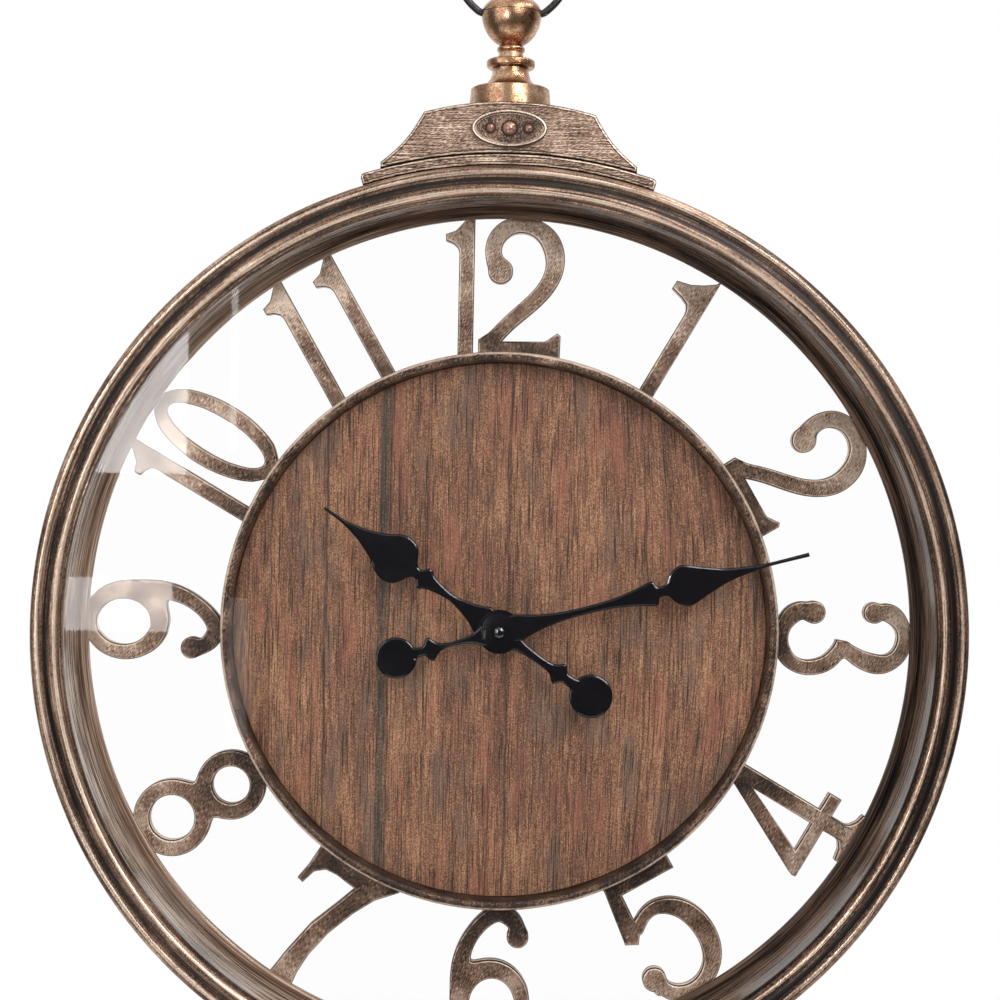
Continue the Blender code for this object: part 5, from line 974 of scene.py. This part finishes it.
# Parts of each digit, in thousandths of the gap between the two rings. A row of two values is a corner of an
# outline, three are a point of a stroke with its width, and four are an ellipse with its half sizes, or its hole.
WIDE_ONE = "wide one"
DIGIT_PARTS = {
    0: (
        ((0, 500, 249.5, 530), (0, 500, 137, 430)),
    ),
    1: (
        ((57, -50), (57, 1040), (-20, 1040), (-12, 985), (-40, 955), (-85, 905), (-159, 878), (-177, 857),
         (-158, 832), (-104, 811), (-69, 781), (-57, 740), (-57, -50)),
    ),
    WIDE_ONE: (
        ((57, -50), (57, 1020), (30, 975), (-52, 918), (-134, 875), (-236, 850), (-237, 785), (-143, 762),
         (-85, 736), (-64, 700), (-57, 660), (-57, -50)),
    ),
    2: (
        ((-180, 611, 95, 95),),
        ((-213, 650, 130), (-240, 755, 125), (-212, 863, 127), (-120, 945, 125), (0, 960, 120), (110, 920, 130),
         (191, 835, 148), (228, 705, 145), (205, 570, 133), (120, 440, 120), (4, 329, 115), (-125, 215, 110),
         (-235, 90, 110)),
        ((-335, -60), (270, -60), (275, 135), (250, 155), (215, 130), (160, 92), (-200, 88), (-285, 135),
         (-338, 98)),
    ),
    3: (
        ((-196, 235, 120), (-172, 140, 145), (-80, 62, 115), (42, 36, 110), (165, 83, 113), (225, 167, 113),
         (239, 268, 113), (204, 389, 117), (110, 470, 100), (30, 490, 70)),
        ((-198, 785, 120), (-170, 868, 145), (-97, 935, 113), (0, 965, 110), (115, 935, 113), (187, 860, 122),
         (207, 764, 150), (172, 640, 138), (100, 540, 100), (50, 497, 80)),
        ((-174, 284, 87, 87),),
        ((-178, 732, 81, 81),),
    ),
    4: (
        ((-36, -20), (88, -20), (88, 1030), (-36, 1030)),
        ((10, 1030), (-45, 1030), (-431, 273), (-431, 250), (-300, 250), (10, 925)),
        ((-431, 220), (230, 220), (230, 320), (-400, 320)),
        ((-180, -30), (216, -30), (216, 20), (150, 36), (105, 68), (80, 115), (-30, 115), (-52, 78), (-94, 50),
         (-180, 34)),
    ),
    5: (
        ((-260, 880), (280, 880), (280, 1040), (-260, 1040)),
        ((-261, 960), (-314, 545), (-224, 500), (-172, 575), (-166, 711), (-156, 900)),
        ((-200, 570, 90), (-125, 645, 90), (-10, 688, 100), (110, 650, 125), (207, 550, 147), (257, 400, 158),
         (252, 250, 153), (195, 120, 130), (80, 30, 115), (-55, 8, 115), (-170, 55, 120), (-235, 150, 100)),
        ((-247, 215, 92, 92),),
    ),
    6: (
        ((-17, 276.5, 302, 326.5), (-3.5, 256.5, 173.5, 206.5)),
        ((195, 800, 90), (150, 888, 125), (50, 945, 125), (-45, 905, 115), (-125, 825, 108), (-185, 735, 112),
         (-224, 637, 122), (-243, 525, 139), (-248, 400, 140), (-246, 290, 130)),
        ((181, 768, 83, 83),),
    ),
    7: (
        ((-311, 811), (-299, 1045), (385, 1045), (373, 989), (250, 849), (162, 682), (79, 462), (36, 256),
         (30, 93), (44, -30), (-152, -30), (-121, 200), (-69, 458), (12, 667), (77, 847), (-91, 866), (-181, 859),
         (-249, 801), (-281, 690), (-331, 700)),
    ),
    8: (
        ((50, 747, 264, 264), (50, 747, 143, 143)),
        ((50, 245, 294, 294), (50, 245, 173, 173)),
    ),
}

# Digits of the hours that have two, or another one than their own number, each with its shift across and its lean
HOUR_DIGITS = {
    1: ((WIDE_ONE, 0.025, 0),), 2: ((2, 0.0225, 0.045),), 10: ((1, -0.243, 0), (0, 0.145, 0)),
    11: ((1, -0.232, 0), (1, 0.19, 0)), 12: ((1, -0.296, 0), (2, 0.1365, 0)),
}
UPSIDE_DOWN_HOURS = (4, 5, 6, 7, 8)


# Sub-assemblies


@dataclass
class Case:
    """Case ring with its screw bosses, glass lens and spacer sleeve.

    A bead is its own radius, and the radius and depth of its middle.
    """

    side_radius: float = 0.2512
    wall: float = 0.0035
    front_bead: Triple = (0.0034, 0.2505, 0.066)
    lens_bead: Triple = (0.0037, 0.2399, 0.0728)
    front_arc: Point = (160, -45)
    lens_arc: Point = (120, -75)
    ridges: tuple[Point, ...] = ((0.2466, 0.0685), (0.2454, 0.0702), (0.2432, 0.0705))
    lip: Point = (0.2348, 0.074)
    lens_seat: float = 0.0722
    recess: Point = (0.2413, 0.064)
    shell_front: float = 0.06
    boss_place: float = 0.2446
    boss_radius: float = 0.0036
    boss_depths: Point = (0.0201, 0.0636)
    boss_angles: tuple[float, ...] = (60, 120, 180, 240, 300, -6.4684, 6.4684)
    lens_radius: float = 0.241
    lens_depths: Point = (0.0694, 0.0719)
    ground: float = 0.0003
    sleeve_radius: float = 0.24
    sleeve_wall: float = 0.0016
    sleeve_depths: Point = (0.0211, 0.0691)

    def ring(self) -> None:
        """Moulded ring with two round beads, open behind."""
        inside = self.side_radius - self.wall
        profile = [(self.side_radius, 0), (self.side_radius, self.front_bead[2] - self.front_bead[0] - FIT)]
        profile += arc(self.front_bead[0], *self.front_arc, ARC_STEPS, *self.front_bead[1:]) + list(self.ridges)
        profile += arc(self.lens_bead[0], *self.lens_arc, ARC_STEPS, *self.lens_bead[1:])
        profile += [self.lip, (self.lip[0], self.lens_seat), (self.recess[0], self.lens_seat), self.recess]
        profile += [(inside, self.shell_front), (inside, 0)]
        form = Form().turned(profile, steps=RING_STEPS)
        for angle in self.boss_angles:
            boss = arc(self.boss_radius, 0, 360, PIECE_STEPS // 3, *polar(self.boss_place, angle))[:-1]
            form.plate([[boss]], *self.boss_depths)
        form.finish("ring_moulding", RING_BRONZE, "bronze_paint", "case_ring", sharp=PLATE_SHARP_ANGLE)

    def lens(self) -> None:
        """Flat glass with a ground edge."""
        back, front = self.lens_depths
        edge, ground = self.lens_radius, self.ground
        profile = [(0, back), (edge - ground, back), (edge, back + ground)]
        profile += [(edge, front - ground), (edge - ground, front), (0, front)]
        form = Form().turned(profile, steps=RING_STEPS // 2)
        form.finish("lens_plate", LensGlass(), "lens_glass", "glass_lens", sharp=GLASS_SHARP_ANGLE)

    def sleeve(self) -> None:
        """Smooth inner wall between the lens and the dial."""
        back, front = self.sleeve_depths
        inner = self.sleeve_radius - self.sleeve_wall
        profile = [(self.sleeve_radius, back), (self.sleeve_radius, front), (inner, front), (inner, back)]
        form = Form().turned(profile, steps=RING_STEPS)
        form.finish("inner_sleeve", BROWN_GLOSS, "brown_gloss", "spacer_sleeve")

    def build(self) -> None:
        """Builds the case."""
        self.ring()
        self.lens()
        self.sleeve()


@dataclass
class Dial:
    """Openwork dial, one casting: flange, numbers and inner ring; and the wood disc inside it."""

    flange_radii: Triple = (0.2474, 0.2368, 0.2315)
    flange_depths: Triple = (0.0176, 0.0198, 0.0208)
    ring_radius: float = 0.1557
    ring_thickness: float = 0.0055
    crest_depth: float = 0.035
    number_depths: Point = (0.012, 0.02)
    ledge: Triple = (0.0062, 0.0172, 0.0192)
    easing: tuple[Point, ...] = ((0.0005, 0.0005), (0.0006, 0.0002), (0.0006, 0.0))
    ease: float = 0.0004
    wood_radii: Point = (0.1499, 0.0043)
    wood_depths: Point = (0.0195, 0.0225)

    def number_point(self, hour: int, across: float, up: float) -> Point:
        """Place of a point that is given in a number's own frame, whose unit is the gap between the rings.

        Args:
            hour: The hour of the number.
            across: Place across the number.
            up: Place from its foot to its head.

        Returns:
            Place from the centre of the dial.
        """
        gap = self.flange_radii[2] - self.ring_radius
        if hour in UPSIDE_DOWN_HOURS:
            across, up = -across, 1 - up
        reach = self.ring_radius + up * gap
        angle = math.radians(hour * 360 / HOURS)
        x = math.sin(angle) * reach + math.cos(angle) * across * gap
        return x, math.cos(angle) * reach - math.sin(angle) * across * gap

    def digit(self, digit: object) -> list[list[Loop]]:
        """Parts of one digit.

        Args:
            digit: Its key in DIGIT_PARTS, or nine, which is a six upside down.

        Returns:
            The parts, each an edge and then its hole.
        """
        if digit == 9:
            return [[[(-across, 1 - up) for across, up in loop] for loop in loops] for loops in self.digit(6)]
        return [part_loops(rows) for rows in DIGIT_PARTS[digit]]

    def casting(self) -> None:
        """Flange, numbers and inner ring."""
        outer, step, inner = self.flange_radii
        back, low, front = self.flange_depths
        edge = self.ease
        flange = [(outer, back), (outer, low), (step, low), (step, front - edge), (step - edge, front)]
        flange += [(inner + edge, front), (inner, front - edge), (inner, back)]
        form = Form().turned(flange, steps=RING_STEPS)
        bead = self.ring_thickness / 2
        wall = self.ring_radius - self.ring_thickness
        width, ledge_back, ledge_front = self.ledge
        ring = [(self.ring_radius, self.number_depths[0])]
        ring += arc(bead, 90, -90, ARC_STEPS, self.ring_radius - bead, self.crest_depth - bead)
        ring += [(wall, ledge_front), (wall - width, ledge_front), (wall - width, ledge_back), (wall, ledge_back)]
        form.turned(ring + [(wall, self.number_depths[0])], steps=RING_STEPS)
        for hour in range(1, HOURS + 1):
            parts = []
            for digit, shift, lean in HOUR_DIGITS.get(hour, ((hour, 0, 0),)):
                for loops in self.digit(digit):
                    parts.append([
                        [self.number_point(hour, across + shift + lean * (1 - up), up) for across, up in loop]
                        for loop in loops
                    ])
            form.plate(parts, *self.number_depths, self.easing, smooth=SMOOTHINGS)
        form.finish("number_ring", DIAL_BRONZE, "bronze_paint", "openwork_dial", sharp=PLATE_SHARP_ANGLE)

    def wood(self) -> None:
        """Wood disc with an eased edge."""
        edge, bore = self.wood_radii
        back, front = self.wood_depths
        profile = [(bore, back), (edge, back), (edge, front - self.ease), (edge - self.ease, front), (bore, front)]
        form = Form().turned(profile, steps=RING_STEPS)
        form.finish("wood_panel", WoodPrint(), "wood_print", "wood_disc")

    def build(self) -> None:
        """Builds the dial and the wood disc."""
        self.casting()
        self.wood()


@dataclass(frozen=True)
class Hand:
    """Sizes of one hand, and the shares that its outline has before and behind the hub."""

    depth: float
    angle: float
    length: float
    spade: float
    tail: Point
    hub: float
    bore: float
    front: Sequence[Point]
    back: Sequence[Point]


@dataclass
class Hands:
    """Hour hand, minute hand and the domed nut."""

    hour: Hand = Hand(
        depth=0.0386, angle=304.1, length=0.1188, spade=0.0139, tail=(0.062, 0.0121), hub=0.0122, bore=0.003,
        front=HOUR_HAND_SHARES, back=HOUR_TAIL_SHARES,
    )
    minute: Hand = Hand(
        depth=0.0424, angle=74.8, length=0.1764, spade=0.0114, tail=(0.0588, 0.0114), hub=0.0102, bore=0.00195,
        front=MINUTE_HAND_SHARES, back=MINUTE_TAIL_SHARES,
    )
    thickness: float = 0.0008
    easing: tuple[Point, ...] = ((0.0004, 0.0004), (0.0007, 0.0002))
    crest: float = 0.0052
    brim: float = 0.0003
    shoulder: float = 0.0006
    dome: float = 0.0008
    collar: Point = (0.0046, 0.0022)
    nut_radius: float = 0.0031
    nut_height: float = 0.0024

    def outline(self, hand: Hand) -> Loop:
        """Closed outline of one hand, with the round end of its tail.

        Args:
            hand: Its sizes.

        Returns:
            The outline, its tip straight up.
        """
        front, back = (
            smooth_line([(share * hand.length, wide * hand.spade) for share, wide in rows])
            for rows in (hand.front, hand.back)
        )
        reach, radius = hand.tail
        start = math.degrees(math.asin(back[-1][1] / radius))
        disc = arc(radius, start, 180, PIECE_STEPS // 2, 0, -reach)[:-1]
        right = [(wide, along) for along, wide in front + back[:-1]] + disc
        return right + [(0, -reach - radius)] + mirrored(right)

    def make(self, hand: Hand, back: float, name: str, node: str, body: str) -> None:
        """Makes one hand with its domed hub.

        Args:
            hand: Its sizes.
            back: Depth of the hub's back.
            name: Name of the piece.
            node: The frame's node that it stands for.
            body: Its body.
        """
        front = hand.depth + self.thickness
        form = Form().plate([[self.outline(hand)]], hand.depth, front, self.easing)
        profile = [(hand.bore, back), (hand.hub, back)]
        if back < hand.depth:
            collar = self.collar[0]
            profile = [(hand.bore, back), (collar, back), (collar, hand.depth), (hand.hub, hand.depth)]
        profile += [(hand.hub, front + self.brim), ((hand.hub + self.crest) / 2, front + self.shoulder)]
        form.turned(profile + [(self.crest, front + self.dome), (hand.bore, front + self.dome)])
        form.rotated(hand.angle).finish(name, BLACK_GLOSS, "black_gloss", node, body=body, sharp=HAND_SHARP_ANGLE)

    def build(self) -> None:
        """Builds both hands and the nut."""
        self.make(self.hour, self.hour.depth - self.collar[1], "hour_spade", "hour_hand", "hour_works")
        middle = self.minute.depth + self.thickness / 2
        self.make(self.minute, middle, "minute_spade", "minute_hand", "minute_works")
        back = self.minute.depth + self.thickness + self.dome + FIT
        dome = [
            (radius, back + self.nut_height * (1 + along / self.nut_radius) / 2)
            for radius, along in arc(self.nut_radius, 90, 0, ARC_STEPS)
        ]
        profile = [(0, back), (self.nut_radius, back)] + dome[:-1] + [(0, back + self.nut_height)]
        form = Form().turned(profile, steps=PIECE_STEPS // 2)
        form.finish("domed_nut", NUT_GLOSS, "black_gloss", "hand_nut", body="minute_works")


@dataclass
class Crown:
    """Crown plate, the strip under it and the oval medallion."""

    depths: Point = (0.018, 0.066)
    strip_radii: Point = (0.2515, 0.2604)
    strip_half_width: float = 0.0806
    strip_corner: float = 0.0025
    bead_room: float = 0.2543
    bead_back: float = 0.0614
    crest: float = 0.2886
    crest_radius: float = 0.169
    shoulder: float = 0.0465
    foot: Triple = (0.0694, 0.2607, 0.0032)
    sag: float = 0.0022
    easing: tuple[Point, ...] = ((0.0006, 0.0006), (0.0006, 0.0002), (0.001, 0.0))
    medallion: Triple = (MEDALLION_HEIGHT, 0.0204, 0.0102)
    rim: float = 0.0018
    rim_steps: tuple[Line, ...] = (
        (0.3, 0.25, 1.0, 0.5), (0.4, 0.0, 0.5, 0.3), (0.3, -0.67, 0.3, 0.9), (0.3, 0.0, 0.9, 0.0),
    )
    medallion_depths: Triple = (0.0663, 0.0681, 0.0693)

    def strip(self) -> None:
        """Curved strip that follows the case, rebated for the front bead."""
        inner, outer = self.strip_radii
        corner = outer - self.strip_corner
        half = math.degrees(math.asin(self.strip_half_width / outer))
        end = half - math.degrees(self.strip_corner / corner)
        middle = polar(corner, end)
        right = arc(self.strip_corner, end, end + 90, ARC_STEPS, *middle)[1:]
        form = Form()
        for radius, back, front, easing in (
            (inner, self.depths[0], self.bead_back, ()),
            (self.bead_room, self.bead_back, self.depths[1], self.easing),
        ):
            loop = arc(outer, -end, end, PIECE_STEPS) + right + arc(radius, half, -half, PIECE_STEPS)
            form.plate([[loop + mirrored(right)]], back, front, easing)
        form.finish("bent_strip", CROWN_BRONZE, "bronze_paint", "crown_strip", sharp=PLATE_SHARP_ANGLE)

    def plate(self) -> None:
        """Crown plate with hollowed sides."""
        half, foot, edge = self.foot
        foot_angle = math.degrees(math.asin(half / foot))
        reach = math.degrees(math.asin(self.shoulder / self.crest_radius))
        top = arc(self.crest_radius, -reach, reach, PIECE_STEPS // 2, 0, self.crest - self.crest_radius)
        low = Vector(polar(foot, foot_angle)) + Vector((0, edge))
        high = Vector(top[-1])
        inwards = Vector((low.y - high.y, high.x - low.x)).normalized()
        right = [
            tuple(high.lerp(low, share) + inwards * self.sag * math.sin(math.pi * share))
            for share in shares(ARC_STEPS)
        ]
        loop = top + right + arc(foot, foot_angle, -foot_angle, PIECE_STEPS) + mirrored(right)
        form = Form().plate([[loop]], *self.depths, self.easing)
        form.finish("pediment", CROWN_BRONZE, "bronze_paint", "crown_plate", sharp=PLATE_SHARP_ANGLE)

    def oval(self) -> None:
        """Medallion with a round rim, a sunk field and three beads."""
        height, half_width, half_height = self.medallion
        back, field, front = self.medallion_depths
        form = Form().plate([[ellipse(0, height, half_width, half_height)]], back, front - self.rim / 4)
        levels = {face: face.calc_center_median().y for face in form.shape.faces}
        faces = [face for face, level in levels.items() if level - min(levels.values()) < MERGE_DISTANCE]
        for width, rise, edge, inside in self.rim_steps:
            form.inset(faces, self.rim * width, self.rim * rise, edge, inside)
        form.finish("medallion_oval", MEDALLION_BRONZE, "bronze_paint", "oval_medallion", sharp=PLATE_SHARP_ANGLE)
        form = Form()
        for across, radius in MEDALLION_BEADS:
            made = bmesh.ops.create_uvsphere(form.shape, u_segments=24, v_segments=16, radius=radius)["verts"]
            bmesh.ops.translate(form.shape, verts=made, vec=(across, -field, CENTRE_Z + height))
        form.finish("medallion_beads", BEAD_BRONZE, "bronze_paint")

    def build(self) -> None:
        """Builds the crown."""
        self.strip()
        self.plate()
        self.oval()


@dataclass
class Knob:
    """Flange, collar and round knob on the crown, with the wire bow."""

    bore: float = 0.0021
    drum: tuple[Point, ...] = ((0.0228, 0.2858), (0.0213, 0.2998))
    flare: Triple = (0.0176, 0.01, 0.3108)
    flare_power: float = 1.6
    collar: tuple[float, float, float, float] = (0.0133, 0.3111, 0.3158, 0.0015)
    neck: tuple[Point, ...] = ((0.0074, 0.3161), (0.0066, 0.3199))
    neck_bead: Triple = (0.00175, 0.0077, 0.3199)
    neck_arc: Point = (150, 30)
    groove: float = 0.006
    groove_height: float = 0.3234
    seam: float = 0.3417
    radius: float = 0.0165
    cap_height: float = 0.0097
    wire: float = 0.00205
    bow_ring: float = 0.0314
    bow_rise: float = 0.0266
    bow_start: float = 39.0
    pin: Point = (0.0105, 0.0155)
    pin_leads: Point = (0.004, 0.003)
    bend_out: float = 0.00026
    ease: float = 0.0006

    def flange(self) -> None:
        """Drum and flare under the knob."""
        (low_radius, low), (top_radius, top) = self.drum
        ease = self.ease
        wide, narrow, high = self.flare
        profile = [(self.bore, low), (low_radius, low), (low_radius, low + ease)]
        profile += [(top_radius + ease / 2, top - ease), (top_radius - ease, top), (wide, top + FIT)]
        for share in shares(ARC_STEPS * 2):
            radius = wide - (wide - narrow) * math.sin(share * math.pi / 2)
            profile.append((radius, top + FIT + (high - top - FIT) * share**self.flare_power))
        form = Form().turned(profile + [(self.bore, high)], Turn.CROWN)
        form.finish("flange_drum", KNOB_BRONZE, "bronze_paint", "crown_flange")

    def disc(self) -> None:
        """Collar disc with a round edge."""
        radius, low, high, ease = self.collar
        profile = [(self.bore, low)] + arc(ease, 180, 90, ARC_STEPS, radius - ease, low + ease)
        profile += arc(ease, 90, 0, ARC_STEPS, radius - ease, high - ease) + [(self.bore, high)]
        Form().turned(profile, Turn.CROWN).finish("collar_disc", KNOB_BRONZE, "bronze_paint", "crown_collar")

    def halves(self) -> None:
        """Lower half of the knob with its neck, and its cap."""
        bead, bead_radius, bead_low = self.neck_bead
        profile = [(self.bore, self.neck[0][1]), *self.neck]
        profile += arc(bead, *self.neck_arc, ARC_STEPS, bead_radius - bead, bead_low + bead)
        profile.append((self.groove, self.groove_height))
        height = self.seam - self.groove_height - bead / 2
        start = math.acos(self.groove / self.radius)
        for share in shares(ARC_STEPS * 2):
            angle = start * (1 - share)
            level = self.seam - FIT - height * math.sin(angle) / math.sin(start)
            profile.append((self.radius * math.cos(angle), level))
        profile.append((self.bore, self.seam - FIT))
        Form().turned(profile, Turn.CROWN).finish("knob_bowl", KNOB_BRONZE, "bronze_paint", "knob_lower")
        profile = [(0, self.seam), (self.radius, self.seam)]
        for share in shares(ARC_STEPS * 2):
            angle = math.pi / 2 * share
            profile.append((self.radius * math.cos(angle), self.seam + self.cap_height * math.sin(angle)))
        profile[-1] = (0, self.seam + self.cap_height)
        Form().turned(profile, Turn.CROWN).finish("knob_dome", KNOB_BRONZE, "bronze_paint", "knob_cap")

    def bow(self) -> None:
        """Wire bow on its two pins."""
        first = polar(self.bow_ring, 180 - self.bow_start, 0, self.bow_rise)
        ring = arc(self.bow_ring, 180 - self.bow_start, self.bow_start - 180, PIECE_STEPS, 0, self.bow_rise)
        inner, outer = self.pin
        bend = ((outer + first[0]) / 2 + self.bend_out, first[1] / 3)
        lead, straight = self.pin_leads
        corner = smooth_line([(inner + lead, 0), (outer, 0), bend, ring[0], ring[1]])[CURVE_STEPS:-CURVE_STEPS]
        half = [(inner, 0.0), (inner + straight, 0.0)] + corner
        middle = CENTRE_Z + self.seam
        line = [Vector((across, -CROWN_DEPTH, middle + up)) for across, up in half + ring[1:-1] + mirrored(half)]
        form = Form().wire(line, self.wire)
        form.finish("wire_bow", WIRE_BRONZE, "bronze_paint", "bow", body="bow", sharp=WIRE_SHARP_ANGLE)

    def build(self) -> None:
        """Builds the knob and the bow."""
        self.flange()
        self.disc()
        self.halves()
        self.bow()


@dataclass
class Studio:
    """Camera, soft lights, floor and backdrop.

    A pane is a flat lamp whose reflection makes a veil in the glass: its place across and up, its width and
    height, and its brightness. The floor keeps its greys within `shadow_reach` of the clock, and is white from
    `white_share` of its half size outwards.
    """

    eye: Triple = (-0.00143, -1.1665, -0.17072)
    roll: float = 1.15
    focal_length: float = 73.28
    shift: Point = (0.0006, 0.003)
    floor_height: float = -0.95
    floor_size: float = 1.1
    floor_greys: Point = (0.86, 0.9)
    shadow_reach: float = 0.1
    white_share: float = 0.85
    light_strength: float = 0.55
    room_shade: float = 0.07
    room_fade: Point = (0.65, 0.15)
    lamps: tuple[tuple, ...] = (
        ("key_light", (0.9, -1.7, 0.75), (1.1, 1.1), 24.0), ("edge_light", (0.62, -0.35, 0.8), (0.9, 0.05), 6.0),
        ("fill_light", (-1.4, -1.5, 0.1), (1.6, 1.6), 12.0),
    )
    pane_y: float = -1.5
    panes: tuple[tuple[float, ...], ...] = (
        (-0.505, 0.0, 0.228, 0.285, 18.0), (-0.512, -0.306, 0.215, 0.066, 12.5),
        (-0.334, 0.01, 0.008, 0.24, 11.0), (-0.322, -0.39, 0.024, 0.19, 2.4),
    )

    def camera(self) -> None:
        """Camera at the photograph's place, level and looking straight at the wall."""
        made = bpy.data.cameras.new("studio_camera")
        made.lens = self.focal_length
        made.shift_x, made.shift_y = self.shift
        thing = put("studio_camera", made)
        turn = math.radians(self.roll)
        right = Vector((math.cos(turn), 0, math.sin(turn)))
        up = Vector((-math.sin(turn), 0, math.cos(turn)))
        thing.matrix_world = Matrix.Translation(self.eye) @ Matrix((right, up, (0, -1, 0))).transposed().to_4x4()
        bpy.context.scene.camera = thing

    def lamp(self, name: str, place: Sequence[float], sides: Point, power: float, aimed: bool = True) -> None:
        """Soft lamp.

        Args:
            name: Name of the lamp.
            place: Where it stands.
            sides: Its width and height.
            power: Watts.
            aimed: Whether it faces the dial, and not the wall straight on.
        """
        made = bpy.data.lights.new(name, "AREA")
        made.shape = "RECTANGLE"
        made.size, made.size_y = sides
        made.energy = power
        thing = put(name, made)
        thing.location = place
        aim = Vector((0, 0, CENTRE_Z)) - Vector(place) if aimed else Vector((0, 1, 0))
        thing.rotation_euler = aim.to_track_quat("-Z", "Y").to_euler()

    def rays(self, graph: Graph) -> tuple[Number, Number]:
        """Kinds of ray.

        Args:
            graph: Nodes of the world.

        Returns:
            Whether a ray is a glossy one, and whether it is one that shows the surroundings as they look.
        """
        ray = graph.nodes.new("ShaderNodeLightPath").outputs
        seen = graph.math("MAXIMUM", ray["Is Camera Ray"], ray["Is Transmission Ray"])
        glossy = Number(graph, ray["Is Glossy Ray"])
        return glossy, graph.math("MAXIMUM", seen, glossy)

    def world(self) -> None:
        """White backdrop on every side, weaker as a light, and a dimmer room for gloss to show in front."""
        graph = Graph("white_room", world=True)
        glossy, seen = self.rays(graph)
        _, back, up = graph.place("Generated")
        start, end = self.room_fade
        front = graph.number("ShaderNodeMapRange", {0: graph.math("MAXIMUM", back, up), 1: start, 2: end})
        shade = front * glossy * (self.room_shade - 1) + 1.0
        graph.set(Color=shade, Strength=seen * (1 - self.light_strength) + self.light_strength)
        bpy.context.scene.world = graph.owner

    def floor(self) -> None:
        """Pale floor under the clock, which turns into the white backdrop away from it."""
        shape = bmesh.new()
        bmesh.ops.create_grid(shape, x_segments=1, y_segments=1, size=self.floor_size)
        bmesh.ops.translate(shape, verts=shape.verts, vec=(0, 0, self.floor_height))
        mesh = bpy.data.meshes.new("pale_floor")
        shape.to_mesh(mesh)
        shape.free()
        graph = Graph("pale_floor")
        x, y, _ = graph.place()
        grey = graph.mix(graph.noise(graph.place(), 3.0), *((grey, grey, grey) for grey in self.floor_greys))
        _, seen = self.rays(graph)
        white = seen * graph.band(graph.reach(x, y), self.shadow_reach, self.floor_size * self.white_share)
        graph.set(Base_Color=graph.mix(white, grey, (0.0, 0.0, 0.0)), Roughness=0.7)
        graph.set(Emission_Color=(1.0, 1.0, 1.0), Emission_Strength=white)
        mesh.materials.append(graph.owner)
        put("pale_floor", mesh)

    def build(self) -> None:
        """Sets up the whole studio."""
        self.camera()
        self.world()
        self.floor()
        for name, place, sides, power in self.lamps:
            self.lamp(name, place, sides, power)
        for number, (x, z, width, height, brightness) in enumerate(self.panes):
            power = brightness * math.pi * width * height
            self.lamp(f"pane_light_{number}", (x, self.pane_y, z), (width, height), power, aimed=False)
        bpy.context.scene.view_settings.view_transform = "Standard"


def dress_nodes() -> None:
    """Gives each node of the frame that is still shown its finish."""
    for finish, names in NODE_FINISHES:
        for name in names:
            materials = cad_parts[name].data.materials
            materials.clear()
            materials.append(finish.make(name))
            log.info("%s dressed", name)


def main() -> None:
    """Builds the clock's looks in order."""
    Studio().build()
    for assembly in (Case(), Dial(), Hands(), Crown(), Knob()):
        assembly.build()
    dress_nodes()
    bpy.context.view_layer.update()


if __name__ == "__main__":
    main()
